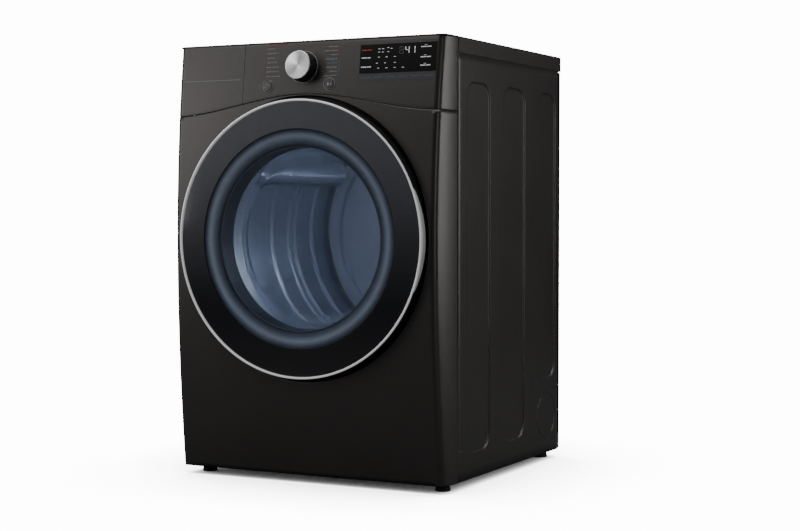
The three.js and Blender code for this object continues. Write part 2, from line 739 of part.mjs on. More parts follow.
function latchCatch() {
  const block = box([272, 302], [DOOR.floor + SHEET + GAP, -318], [532, 568]);
  const mouth = box([278, 294.5], [-345, -322], [541, 559]);
  return piece('latch_catch', cut(block, mouth), BLACK);
}

// ------------------------------------------------------- drawer and controls
function drawerFront() {
  const side = box([-400, DRAWER_SPLIT - GAP], [-420, -200], [800, 1000]);
  const wall = common(
    frontSolid(),
    seamRegion(GAP, 1200),
    box([DRAWER_SPLIT - GAP - SHEET, DRAWER_SPLIT - GAP], [-420, -300], [800, 1000]),
  );
  const shell = common(frontSkin(), seamRegion(GAP, 1200), side);
  return piece('drawer_front', join(shell, wall), PAINT);
}

function drawerTray() {
  const box1 = tray(
    [[-329, -171], [-328, -70], [856, 934]],
    [[-327, -173], [-326, -72], [858, 940]],
  );
  const rim = box([-329, -171], [-140, -138], [857, 930]);
  return piece('drawer_tray', join(box1, rim), GREY);
}

function drawerHousing() {
  const shell = tray(
    [[-335, -165], [-265.5, -56], [850, 942]],
    [[-332.5, -167.5], [-270, -58.5], [852.5, 939.5]],
  );
  return piece('drawer_housing', shell, GREY);
}

function steamGenerator() {
  const tank = box([-330, -220], [-46, 120], [842, 934]);
  const outlet = rodY(9, [119, 150], -280, 900, 20);
  return piece('steam_generator', join(tank, outlet), GREY);
}

function controlKnob() {
  const { r, depth } = KNOB;
  const profile = [
    [0, 10], [3, 10], [3, -1], [r, -1], [r, -3], [r - 0.8, -depth + 2.5], [r - 3, -depth], [0, -depth],
  ];
  const mesh = piece('control_knob', turned(profile, 0, 0, 40), CHROME);
  mesh.position.set(KNOB.x, frontY(KNOB.z), KNOB.z);
  mesh.rotation.x = frontTilt(KNOB.z);
  return mesh;
}

function knobLightRing() {
  const mesh = piece('knob_light_ring', ring(34.6, 37, [-1.4, -0.6], 0, 0, 36), GREY);
  mesh.position.set(KNOB.x, frontY(KNOB.z), KNOB.z);
  mesh.rotation.x = frontTilt(KNOB.z);
  return mesh;
}

function pushButton(name, place) {
  const { r, proud } = BUTTON;
  const profile = [[0, 8], [4, 8], [4, 2.4], [r, 2.4], [r, -proud + 0.4], [r - 0.6, -proud], [0, -proud]];
  const mesh = piece(name, turned(profile, 0, 0, 28), PAINT);
  mesh.position.set(place.x, frontY(place.z), place.z);
  mesh.rotation.x = frontTilt(place.z);
  return mesh;
}

function terminalCover() {
  const shell = tray(
    [[210, 320], [BACK + GAP, 348], [800, 900]],
    [[213, 317], [BACK - 5, 345], [803, 897]],
  );
  return piece('terminal_cover', shell, PAINT);
}

// -------------------------------------------------------------- levelling feet
function footPlaces() {
  const { x, front, rear } = FOOT;
  return [
    ['foot_front_left', -x, front],
    ['foot_front_right', x, front],
    ['foot_rear_left', -x, rear],
    ['foot_rear_right', x, rear],
  ];
}

function levellingFoot([name, x, y]) {
  const { pad, neck, stem } = FOOT;
  const foot = turned([
    [0, 0], [pad, 0], [pad, 8], [neck, 10], [neck, 18], [stem, 18], [stem, 46], [0, 46],
  ], 0, 0, 20);
  foot.rotateX(Math.PI / 2);
  const mesh = piece(name, foot, RUBBER);
  mesh.position.set(x, y, 0);
  return mesh;
}

// ----------------------------------------------------------------- assembly
function assembly() {
  const dryer = new THREE.Group();
  dryer.name = 'clothes_dryer';
  dryer.add(
    basePan(), sidePanel('side_panel_left', -1), sidePanel('side_panel_right', 1),
    rearPanel(), topCover(), frontCover(), controlFascia(), frontCrossRail(),
    displayWindow(), controlBoard(), frontBulkhead(), rearBulkhead(),
    drumSealFront(), drumSealRear(), doorGasket(), lintDuct(), blowerHousing(),
    exhaustDuct(), heaterHousing(), heaterElement(), rearAirDuct(), motorHousing(),
    driveBelt(), idlerBracket(), hingeBracket(), latchCatch(), drawerHousing(),
    steamGenerator(), terminalCover(), knobLightRing(),
  );
  dryer.add(
    doorTrim(), doorGlass(), doorFrame(), doorHandle(), doorInnerCover(),
    doorWindow(), doorHingeArm(), doorStrike(),
  );
  dryer.add(drumShell());
  BAFFLE_ANGLES.forEach((angle, i) => dryer.add(drumBaffle(`drum_baffle_${i + 1}`, angle)));
  rollerPlaces().forEach((place) => dryer.add(drumRoller(place)));
  dryer.add(motorShaft(), blowerWheel(), idlerArm(), idlerWheel(), lintFilter());
  dryer.add(drawerFront(), drawerTray(), controlKnob());
  dryer.add(pushButton('power_button', POWER), pushButton('start_button', START));
  footPlaces().forEach((place) => dryer.add(levellingFoot(place)));
  return dryer;
}

export default assembly();
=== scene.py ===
"""Front-load clothes dryer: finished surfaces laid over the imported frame."""
import math

import bmesh
import bpy
import numpy as np
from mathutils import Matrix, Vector


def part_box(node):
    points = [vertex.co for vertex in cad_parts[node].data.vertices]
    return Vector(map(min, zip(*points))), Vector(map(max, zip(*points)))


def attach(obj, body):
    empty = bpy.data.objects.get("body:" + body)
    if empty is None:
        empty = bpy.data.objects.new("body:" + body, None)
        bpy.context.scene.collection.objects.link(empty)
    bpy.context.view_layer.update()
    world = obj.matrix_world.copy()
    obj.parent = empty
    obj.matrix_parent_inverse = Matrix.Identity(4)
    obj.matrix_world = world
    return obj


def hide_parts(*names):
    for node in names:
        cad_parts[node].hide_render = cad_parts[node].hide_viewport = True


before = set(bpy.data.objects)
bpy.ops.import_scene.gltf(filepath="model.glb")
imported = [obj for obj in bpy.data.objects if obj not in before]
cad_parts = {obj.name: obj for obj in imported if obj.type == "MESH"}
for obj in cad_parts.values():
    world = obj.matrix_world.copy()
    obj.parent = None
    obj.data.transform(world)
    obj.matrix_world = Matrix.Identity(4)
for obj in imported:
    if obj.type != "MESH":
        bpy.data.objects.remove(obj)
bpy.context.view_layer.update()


# ------------------------------------------------------------------ main sizes
TRIM_LOW, TRIM_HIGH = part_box("door_trim")
DOOR_Z = (TRIM_LOW[2] + TRIM_HIGH[2]) / 2
DOOR_R = (TRIM_HIGH[0] - TRIM_LOW[0]) / 2
DOOR_FRONT = TRIM_LOW[1]
COVER_LOW, COVER_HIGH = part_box("front_cover")
HALF = COVER_HIGH[0]
WRAP_END = COVER_HIGH[1]
BASE = COVER_LOW[2]
FASCIA_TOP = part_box("control_fascia")[1][2]
TOP_LOW, TOP_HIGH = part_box("top_cover")
DRUM_LOW, DRUM_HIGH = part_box("drum_shell")
DRUM_Z = (DRUM_LOW[2] + DRUM_HIGH[2]) / 2
DRUM_R = (DRUM_HIGH[0] - DRUM_LOW[0]) / 2
RECESS_R = 0.3165
RECESS_FLOOR = -0.340
RECESS_HOLE = 0.262
TUNNEL_R = 0.240
DRAWER_SPLIT = -0.160
GAP = 0.0004
FLAT = 0.320
HINGE_X, HINGE_Y = -0.302, -0.371
EAR_REACH, EAR_HALF = 0.044, 0.049
FRAME_FRONT = -0.3762
PANE_R = 0.2440
KNOB_X, KNOB_Z = -0.004, 0.931
GRIP_HALF = 0.118
HINGE_RELIEF = 0.0026


# ----------------------------------------------------------------- mesh making
def grid_faces(rows, columns, start, around):
    """Quads over a rows by columns grid of points numbered from start."""
    last = columns if around else columns - 1
    r, c = np.meshgrid(np.arange(rows - 1), np.arange(last), indexing="ij")
    a = start + r * columns + c
    b = start + r * columns + (c + 1) % columns
    return np.stack([a, b, b + columns, a + columns], axis=-1).reshape(-1, 4)


def mesh_piece(name, grids, material, body, stands_for=(), around=False, outward=False,
               wall=0.0, crease=32.0):
    """One mesh from grids of points, welded, riding on a body.

    Each grid is an array of rows, columns and xyz; around closes its columns, for
    one grid or for each. With outward the faces are turned outwards; wall gives
    an open sheet its thickness on its inner side.
    """
    points, faces, count = [], [], 0
    closes = np.broadcast_to(around, len(grids))
    for grid, close in zip(grids, closes):
        rows, columns = grid.shape[:2]
        faces.append(grid_faces(rows, columns, count, close))
        points.append(grid.reshape(-1, 3))
        count += rows * columns
    mesh = bpy.data.meshes.new(name)
    mesh.from_pydata(np.concatenate(points).tolist(), [], np.concatenate(faces).tolist())
    work = bmesh.new()
    work.from_mesh(mesh)
    bmesh.ops.remove_doubles(work, verts=work.verts, dist=2e-6)
    bmesh.ops.dissolve_degenerate(work, edges=work.edges, dist=1e-7)
    if outward:
        bmesh.ops.recalc_face_normals(work, faces=work.faces)
    work.to_mesh(mesh)
    work.free()
    mesh.shade_smooth()
    mesh.set_sharp_from_angle(angle=math.radians(crease))
    mesh.materials.append(material)
    piece = bpy.data.objects.new(name, mesh)
    bpy.context.scene.collection.objects.link(piece)
    if wall:
        solidify = piece.modifiers.new("wall", "SOLIDIFY")
        solidify.thickness = wall
        solidify.offset = -1.0
    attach(piece, body)
    if stands_for:
        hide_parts(*stands_for)
    return piece


def lathe(profile, centre=(0.0, 0.0), steps=128, start=0.0, sweep=360.0):
    """Grid of a [radius, y] profile carried round the Y axis through centre (x, z)."""
    profile = np.asarray(profile, float)
    count = steps if sweep >= 360.0 else steps + 1
    angle = np.radians(start + sweep * np.arange(count) / steps)
    r, y = profile[:, :1], profile[:, 1:]
    x = centre[0] + r * np.cos(angle)
    z = centre[1] + r * np.sin(angle)
    return np.stack([x, np.broadcast_to(y, x.shape), z], axis=-1)


def rounded_loop(corners, radius, steps=5):
    """Closed 2-D outline with every corner rounded by an arc of points."""
    corners = np.asarray(corners, float)
    radius = np.broadcast_to(radius, len(corners))
    out = []
    for i, here in enumerate(corners):
        before = corners[i - 1] - here
        after = corners[(i + 1) % len(corners)] - here
        before /= np.linalg.norm(before)
        after /= np.linalg.norm(after)
        half = math.acos(np.clip(np.dot(before, after), -1, 1)) / 2
        cut = radius[i] / math.tan(half)
        bisector = (before + after) / np.linalg.norm(before + after)
        centre = here + bisector * radius[i] / math.sin(half)
        first = here + before * cut - centre
        last = here + after * cut - centre
        turn = math.atan2(first[0] * last[1] - first[1] * last[0], np.dot(first, last))
        angle = np.linspace(0, turn, steps)
        spin = np.stack([np.cos(angle), -np.sin(angle), np.sin(angle), np.cos(angle)])
        out.append(centre + (spin.reshape(2, 2, steps).transpose(2, 0, 1) @ first))
    return np.concatenate(out)


def closed_profile(corners, radius, steps=5):
    """Rounded outline that ends where it starts, ready to be turned; long straight
    runs get a point near either end, so that flat faces shade flat."""
    loop = rounded_loop(corners, radius, steps)
    brace = 0.0008
    points = []
    for here, after in zip(loop, np.roll(loop, -1, axis=0)):
        span = np.linalg.norm(after - here)
        points.append(here)
        if span > 5 * brace:
            points += [here + (after - here) * brace / span, after - (after - here) * brace / span]
    return np.array(points + [loop[0]])


def capped(grid, axis=0):
    """Grid with both ends along an axis gathered to the middle of their outline."""
    first, last = np.take(grid, [0], axis=axis), np.take(grid, [-1], axis=axis)
    other = 1 - axis
    count = grid.shape[other]
    ends = [np.repeat(end.mean(axis=other, keepdims=True), count, axis=other) for end in (first, last)]
    return np.concatenate([ends[0], grid, ends[1]], axis=axis)


# -------------------------------------------------------------- the bowed front
def front_y(z):
    """Parabola in height: -331.5 mm at both ends, 33 mm further out at z 537 mm."""
    reach = np.where(z > 0.537, 0.454, 0.517)
    return -0.3315 - 0.033 * (1 - ((z - 0.537) / reach) ** 2)


def front_lean(z):
    """Angle that the front's normal leans up (positive) or down at a height."""
    reach = np.where(z > 0.537, 0.454, 0.517)
    return np.arctan(0.066 * (z - 0.537) / reach ** 2)


def seam_z(x):
    """Seam under the fascia: a smooth hump of 43 mm over the door."""
    s = np.minimum(1.0, np.abs(x) / HALF)
    return 0.828 + 0.043 * (1 - s) ** 2 * (1 + 2 * s)


def front_point(x, z, out=0.0):
    """Point on the flat-across part of the front, moved out along -Y."""
    return np.stack(np.broadcast_arrays(x, front_y(z) - out, z), axis=-1)


def wrap_point(p, z, side, out=0.0):
    """Point on the rounded side of the front skin.

    p 0 to 1 is the last flat stretch, 1 to 2 a 14 mm corner of 78 degrees and
    2 to 3 a slow curve that reaches the side seam square to X.
    """
    p, z = np.broadcast_arrays(p, z)
    tight, bend = 0.014, math.radians(78.0)
    y0 = front_y(z)
    slow = (WRAP_END - y0 - tight * (1 - math.cos(bend))) / math.cos(bend)
    edge = HALF - slow * (1 - math.sin(bend)) - tight * math.sin(bend)
    angle = np.where(p < 1, 0.0, np.where(p < 2, (p - 1) * bend, bend + (p - 2) * (math.pi / 2 - bend)))
    x_flat = FLAT + (edge - FLAT) * p
    x_tight = edge + tight * np.sin(angle)
    y_tight = y0 + tight * (1 - np.cos(angle))
    x_slow = HALF - slow * (1 - np.sin(angle))
    y_slow = WRAP_END - slow * np.cos(angle)
    x = np.where(p < 1, x_flat, np.where(p < 2, x_tight, x_slow)) + out * np.sin(angle)
    y = np.where(p < 1, y0, np.where(p < 2, y_tight, y_slow)) - out * np.cos(angle)
    return np.stack([side * x, y, z], axis=-1)


WRAP_STEPS = np.concatenate([[0.0, 0.5], np.linspace(1, 2, 13), np.linspace(2, 3, 15)[1:]])


def reach_of(angle, inside):
    """Length of each ray from the door centre to the edge of a region, by halving."""
    near, far = np.zeros_like(angle), np.full_like(angle, 2.0)
    for _ in range(44):
        mid = (near + far) / 2
        kept = inside(mid * np.cos(angle), DOOR_Z + mid * np.sin(angle))
        near, far = np.where(kept, mid, near), np.where(kept, far, mid)
    return near


def build_front_cover(material):
    """Rays from the door centre: recess floor, wall, rolled lip, then the bowed sheet
    out to the seam and the base; two strips carry it round the sides. The wall stands
    2.6 mm back above and below the hinge, where the open door's edge comes in."""
    top = lambda x: seam_z(x) - GAP
    inside = lambda x, z: (np.abs(x) <= FLAT) & (z >= BASE) & (z <= top(x))
    corners = [math.atan2(BASE - DOOR_Z, FLAT), math.atan2(BASE - DOOR_Z, -FLAT),
               math.atan2(top(FLAT) - DOOR_Z, FLAT), math.atan2(top(FLAT) - DOOR_Z, -FLAT)]
    angle = np.unique(np.concatenate([np.linspace(-math.pi, math.pi, 289)[:-1], corners]))
    reach = reach_of(angle, inside)
    cos, sin = np.cos(angle), np.sin(angle)
    lip = 0.0025
    bulge = np.exp(-((np.abs(sin) * RECESS_R - 0.072) / 0.022) ** 2)
    wall = RECESS_R + np.where(cos < 0, HINGE_RELIEF * bulge, 0.0)
    rows = []

    def row(r, y):
        rows.append(np.stack([r * cos, np.broadcast_to(y, cos.shape), DOOR_Z + r * sin], axis=-1))

    face = lambda r: front_y(DOOR_Z + r * sin)
    for y in (-0.331, -0.3385):
        row(RECESS_HOLE, y)
    for r in np.linspace(RECESS_HOLE + 0.0015, RECESS_R - 0.003, 7):
        row(r, RECESS_FLOOR)
    row(RECESS_R - 0.001, RECESS_FLOOR - 0.0008)
    for t in np.linspace(0, 1, 6):
        row(wall, (RECESS_FLOOR - 0.003) * (1 - t) + (face(wall) + lip) * t)
    start = wall + lip
    for turn in np.radians([22, 45, 68]):
        row(wall + lip * (1 - math.cos(turn)), face(start) + lip * (1 - math.sin(turn)))
    for t in np.linspace(0, 1, 30) ** 1.2:
        r = start + (reach - start) * t
        row(r, face(r))
    sheet = np.stack(rows)
    strips = []
    sides = np.abs(np.abs(reach * cos) - FLAT) < 2e-5
    for side in (-1, 1):
        z = np.sort(sheet[-1, sides & (side * cos > 0), 2])
        strips.append(wrap_point(WRAP_STEPS[None, :], z[:, None], side)[:, ::side])
    mesh_piece("front_skin_lower", [sheet[:, ::-1]] + strips, material, "cabinet",
               ["front_cover"], around=[True, False, False], wall=0.0012)


def upper_skin(x_from, x_to, wraps):
    """Rows from the seam to the top, rolled back a little at both edges.

    Columns run from one flat end to the other, with a wrapped side where wraps
    names one (-1 left, 1 right)."""
    flat = np.linspace(x_from, x_to, max(4, int((x_to - x_from) / 0.006)))
    roll = np.radians([90, 60, 30, 0])
    lip = 0.0012
    rise = np.concatenate([np.zeros(4), np.linspace(0, 1, 26)[1:-1], np.ones(4)])
    inset = np.concatenate([lip * (1 - np.cos(roll)), np.zeros(24), lip * (1 - np.cos(roll[::-1]))])
    shift = np.concatenate([-lip * np.sin(roll), np.zeros(24), lip * np.sin(roll[::-1])])

    def height(x):
        low = seam_z(x)[None, :] + GAP + lip
        return low + (FASCIA_TOP - lip - low) * rise[:, None] + shift[:, None]

    grid = front_point(flat[None, :], height(flat), -inset[:, None])
    parts = [grid]
    if wraps:
        z = height(np.full(len(WRAP_STEPS), FLAT))
        strip = wrap_point(WRAP_STEPS[None, :], z, wraps, -inset[:, None])
        parts = [strip[:, ::-1], grid] if wraps < 0 else [grid, strip]
    return np.concatenate([parts[0][:, :-1], parts[1]], axis=1) if wraps else grid


def build_upper_front(material):
    """Fascia and drawer front, two neighbouring stretches of the upper skin."""
    fascia = upper_skin(DRAWER_SPLIT + GAP, FLAT, 1)
    drawer = upper_skin(-FLAT, DRAWER_SPLIT - GAP, -1)
    for name, grid, body, node, edge in (
        ("fascia_skin", fascia, "cabinet", "control_fascia", 0),
        ("drawer_skin", drawer, "drawer", "drawer_front", -1),
    ):
        back = grid[:, edge] + np.array([0.0, 0.012, 0.0])
        rim = [grid[:, edge], back] if edge else [back, grid[:, edge]]
        wall = np.stack(rim, axis=1)
        whole = [np.concatenate([grid[:, :-1], wall], axis=1) if edge
                 else np.concatenate([wall, grid[:, 1:]], axis=1)]
        mesh_piece(name, whole, material, body, [node], wall=0.0012)


def build_side(name, node, side, material):
    """Height field over the panel: 2.6 mm pressed ribs with soft 3 mm shoulders, a
    shallow ring round the vent blank, and rolled front and rear edges."""
    ribs = [(-0.228, -0.103, 0.076, 0.897), (-0.030, 0.096, 0.076, 0.897), (0.173, 0.287, 0.203, 0.896)]
    low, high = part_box(node)
    y0, y1, z0, z1 = low[1], high[1], low[2], high[2]
    ys = [np.linspace(y0, y1, 40), y0 + np.array([0, 0.0004, 0.001, 0.002])]
    zs = [np.linspace(z0, z1, 50)]
    for a, b, c, d in ribs:
        ys += [np.linspace(a - 0.004, a + 0.040, 24), np.linspace(b - 0.040, b + 0.004, 24)]
        zs += [np.linspace(c - 0.004, c + 0.040, 24), np.linspace(d - 0.040, d + 0.004, 24)]
    ys.append(np.linspace(0.172, 0.288, 56))
    zs.append(np.linspace(0.054, 0.170, 56))
    y = np.unique(np.round(np.concatenate(ys), 4))
    z = np.unique(np.round(np.concatenate(zs), 4))
    y, z = y[(y >= y0) & (y <= y1)], z[(z >= z0) & (z <= z1)]
    yy, zz = np.meshgrid(y, z, indexing="ij")
    smooth = lambda t: np.clip(t, 0, 1) ** 2 * (3 - 2 * np.clip(t, 0, 1))
    depth = np.zeros_like(yy)
    for a, b, c, d in ribs:
        r = 0.040
        dy = np.abs(yy - (a + b) / 2) - (b - a) / 2 + r
        dz = np.abs(zz - (c + d) / 2) - (d - c) / 2 + r
        outside = np.hypot(np.maximum(dy, 0), np.maximum(dz, 0)) + np.minimum(np.maximum(dy, dz), 0) - r
        depth += 0.0026 * smooth(-outside / 0.0032)
    ring = np.hypot(yy - 0.230, zz - 0.112)
    depth += 0.0012 * smooth(1 - np.abs(ring - 0.0555) / 0.0022)
    depth += 0.0012 * smooth(1 - (yy - y0) / 0.0016)
    slot = np.hypot(np.maximum(np.abs(yy + 0.258) - 0.002, 0), zz - 0.090)
    depth += 0.0015 * smooth(1 - slot / 0.0035)
    grid = np.stack([side * (HALF - depth), yy, zz], axis=-1)
    mesh_piece(name, [grid[::-1] if side > 0 else grid], material, "cabinet", [node],
               wall=0.0010, crease=60)


def build_top(material):
    """Outline of the cover carried up its skirt, over a 5 mm rounded edge and in to
    the middle; the skirt is short at the front, where the fascia stands under it."""
    corners = [(-HALF, BOWED_TOP_Y), (HALF, BOWED_TOP_Y), (HALF, TOP_HIGH[1]), (-HALF, TOP_HIGH[1])]
    loop = rounded_loop(corners, [0.017, 0.017, 0.006, 0.006], 9)
    sides = []
    for i, here in enumerate(loop):
        after = loop[(i + 1) % len(loop)]
        span = np.linalg.norm(after - here)
        sides.append(here + (after - here) * np.linspace(0, 1, max(2, int(span / 0.02)))[:-1, None])
    loop = np.concatenate(sides)
    for side in (1, -1):
        for y in (WRAP_END + 0.0002, WRAP_END + 0.0008):
            near = np.where(loop[:, 0] * side > HALF - 1e-6)[0]
            slot = near[np.argmin(np.abs(loop[near, 1] - y))]
            at = slot + (1 if (loop[slot, 1] < y) == (side > 0) else 0)
            loop = np.insert(loop, at, [side * HALF, y], axis=0)
    towards = np.roll(loop, -1, axis=0) - np.roll(loop, 1, axis=0)
    normal = np.stack([towards[:, 1], -towards[:, 0]], axis=-1)
    normal /= np.linalg.norm(normal, axis=1, keepdims=True)
    skirt = np.where(loop[:, 1] > WRAP_END + 0.0005, TOP_LOW[2], FASCIA_TOP + 0.0006)
    edge, top = 0.0030, TOP_HIGH[2]
    rows = []

    def ring(inset, z):
        xy = loop - normal * inset
        rows.append(np.stack([xy[:, 0], xy[:, 1], np.broadcast_to(z, len(xy))], axis=-1))

    ring(0.0004, skirt)
    ring(0.0, skirt + 0.0004)
    for t in (0.5, 1.0):
        ring(0.0, skirt + 0.0004 + (top - edge - skirt - 0.0004) * t)
    for turn in np.radians([22, 45, 68, 90]):
        ring(edge * (1 - math.cos(turn)), top - edge + edge * math.sin(turn))
    ring(0.0045, top)
    centre = np.array([0.0, (TOP_LOW[1] + TOP_HIGH[1]) / 2, top])
    for t in (0.3, 0.65, 1.0):
        rows.append(centre * t + rows[8] * (1 - t))
    mesh_piece("top_panel", [np.stack(rows)], material, "cabinet", ["top_cover"], around=True,
               outward=True, wall=0.0014)


BOWED_TOP_Y = float(front_y(np.array(FASCIA_TOP)))


# --------------------------------------------------------------------- the door
DOOR_AXIS = (0.0, DOOR_Z)


def turned_piece(name, profile, steps, material, body, stands_for=(), **more):
    """Closed piece turned about the door's axis."""
    mesh_piece(name, [lathe(profile, DOOR_AXIS, steps)], material, body, stands_for, outward=True,
               around=True, **more)


def arc_profile(cx, cy, r, start, end, steps):
    """Points of an arc in [radius, y] terms, angles in degrees."""
    angle = np.radians(np.linspace(start, end, steps))
    return np.stack([cx + r * np.cos(angle), cy + r * np.sin(angle)], axis=-1)


def build_door(chrome, silver, pane, border, bowl, black, grey, soft):
    """Round pieces turned about the door's axis, front to back."""
    y = DOOR_FRONT
    trim = closed_profile([(DOOR_R - 0.0056, y + 0.0016), (DOOR_R - 0.0050, y + 0.0002),
                           (DOOR_R - 0.0031, y), (DOOR_R - 0.0014, y + 0.0004),
                           (DOOR_R - 0.0010, y + 0.0018), (DOOR_R - 0.0010, y + 0.0054),
                           (DOOR_R - 0.0056, y + 0.0054)],
                          [0.0004, 0.0005, 0.0020, 0.0005, 0.0004, 0.0003, 0.0003], 5)
    turned_piece("trim_ring", trim, 256, chrome, "door", ["door_trim"])
    band = closed_profile([(DOOR_R - 0.0008, y + 0.0016), (DOOR_R, y + 0.0022), (DOOR_R, y + 0.0054),
                           (DOOR_R - 0.0008, y + 0.0054)], [0.0002, 0.0005, 0.0002, 0.0002], 4)
    turned_piece("trim_band", band, 256, black, "door")
    # Grey ring at the bowl's mouth, standing for the bright line the glass edge shows: a painted highlight.
    bead = arc_profile(0.2042, -0.3668, 0.0011, 0, 360, 13)
    turned_piece("window_edge_highlight", bead, 200, grey, "door")
    face, back = y + 0.0021, y + 0.0060
    edge = closed_profile([(PANE_R, face), (0.3030, face), (0.3030, back), (PANE_R, back)],
                          [0.0001, 0.0009, 0.0004, 0.0001], 4)
    turned_piece("glass_border", edge, 224, border, "door")
    disc = np.array([(0.0, face), (0.10, face), (0.20, face), (PANE_R - GAP / 2, face),
                     (PANE_R - GAP / 2, back), (0.20, back), (0.10, back), (0.0, back)])
    turned_piece("glass_pane", disc, 160, pane, "door", ["door_glass"])
    # window_shade: frosted ring whose colour is painted glow and painted shade.
    shade = closed_profile([(0.2438, -0.3758), (0.2280, -0.3758), (0.2085, -0.3712), (0.2040, -0.3655),
                            (0.2026, -0.3200), (0.2036, -0.3200), (0.2054, -0.3640), (0.2095, -0.3690),
                            (0.2280, -0.3738), (0.2438, -0.3738)],
                           [0.0003, 0.008, 0.004, 0.004, 0.0003, 0.0003, 0.003, 0.003, 0.006, 0.0003], 7)
    turned_piece("window_shade", shade, 224, soft, "door", crease=60)
    frame_wall = closed_profile([(0.2445, FRAME_FRONT), (0.3097, FRAME_FRONT), (0.3097, -0.3490),
                                 (0.3066, -0.3438), (0.3045, -0.3442), (0.3065, -0.3500),
                                 (0.3065, -0.3732), (0.2445, -0.3732)],
                                [0.0004, 0.0012, 0.003, 0.0012, 0.0006, 0.002, 0.002, 0.0004], 5)
    ring = lathe(frame_wall, DOOR_AXIS, 256)
    hinge_gap = hinge_notch(ring)
    mesh_piece("door_ring", [np.where(hinge_gap[..., None], squeeze_front(ring), ring)], black, "door",
               ["door_frame"], outward=True, around=True)
    build_handle(silver)
    cover = closed_profile([(0.2310, -0.3725), (0.2332, -0.3725), (0.2365, -0.3500), (0.3015, -0.3470),
                            (0.3015, -0.3446), (0.2345, -0.3446), (0.2320, -0.3470)],
                           [0.0006, 0.0006, 0.004, 0.001, 0.001, 0.003, 0.002], 5)
    inner = lathe(cover, DOOR_AXIS, 224)
    inner_gap = hinge_notch(inner)
    mesh_piece("inner_cover", [np.where(inner_gap[..., None], squeeze_front(inner), inner)], grey, "door",
               ["door_inner_cover"], outward=True, around=True)
    outer = [(0.0, -0.2620), (0.1800, -0.2620), (0.1985, -0.2720), (0.2255, -0.3655), (0.2296, -0.3668),
             (0.2298, -0.3728), (0.2262, -0.3732), (0.2222, -0.3700), (0.1945, -0.2745),
             (0.1790, -0.2660), (0.0, -0.2660)]
    rounds = [0.0001, 0.016, 0.010, 0.003, 0.001, 0.0014, 0.0014, 0.004, 0.010, 0.016, 0.0001]
    shape = smooth_open(outer, rounds)
    turned_piece("bowl_glass", shape, 192, bowl, "door", ["door_window"], crease=60)


def smooth_open(points, radius, steps=6):
    """Open outline with its inner corners rounded; the two ends stay where they are."""
    points = np.asarray(points, float)
    out = [points[:1]]
    for i in range(1, len(points) - 1):
        trio = rounded_loop(points[i - 1:i + 2], [1e-6, radius[i], 1e-6], steps)
        out.append(trio[steps:2 * steps])
    out.append(points[-1:])
    return np.concatenate(out)


def hinge_notch(grid):
    """Where a turned piece must leave room for the hinge ears."""
    x, y, z = grid[..., 0], grid[..., 1], grid[..., 2]
    return (np.hypot(x - HINGE_X, y - HINGE_Y) < EAR_REACH) & (np.abs(z - DOOR_Z) < EAR_HALF)


def squeeze_front(grid):
    """Folds the hinge stretch of a ring flat against the back of the glass."""
    folded = grid.copy()
    folded[..., 1] = FRAME_FRONT + (grid[..., 1] - FRAME_FRONT) * 0.01
    return folded


def build_handle(silver):
    """Crescent round the ring's right edge: a turned wall whose rear edge follows a
    flat arc, 17 mm deep in the middle and nothing at its two tips."""
    half = math.asin(GRIP_HALF / DOOR_R)
    turn = np.linspace(-half, half, 97)
    share = np.maximum(1 - (turn / half) ** 2, 0.0)
    depth = 0.0172 * share ** 0.8 + 0.0002
    front = DOOR_FRONT + 0.0012
    inner = DOOR_R - 0.0034
    outer = DOOR_R - 0.0012 + 0.0020 * np.minimum(1.0, 4 * share)
    section = np.array([(0.5, 0.0), (1.0, 0.0), (1.0, 0.25), (1.0, 0.7), (0.97, 0.88), (0.86, 0.98),
                        (0.6, 1.0), (0.2, 1.0), (0.0, 0.95), (0.0, 0.5), (0.0, 0.0), (0.5, 0.0)])
    r = inner + (outer - inner)[None, :] * section[:, :1]
    y = front + depth[None, :] * section[:, 1:]
    grid = np.stack([r * np.cos(turn), y, DOOR_Z + r * np.sin(turn)], axis=-1)
    mesh_piece("grip_crescent", [capped(grid, axis=1)], silver, "door", ["door_handle"], outward=True)


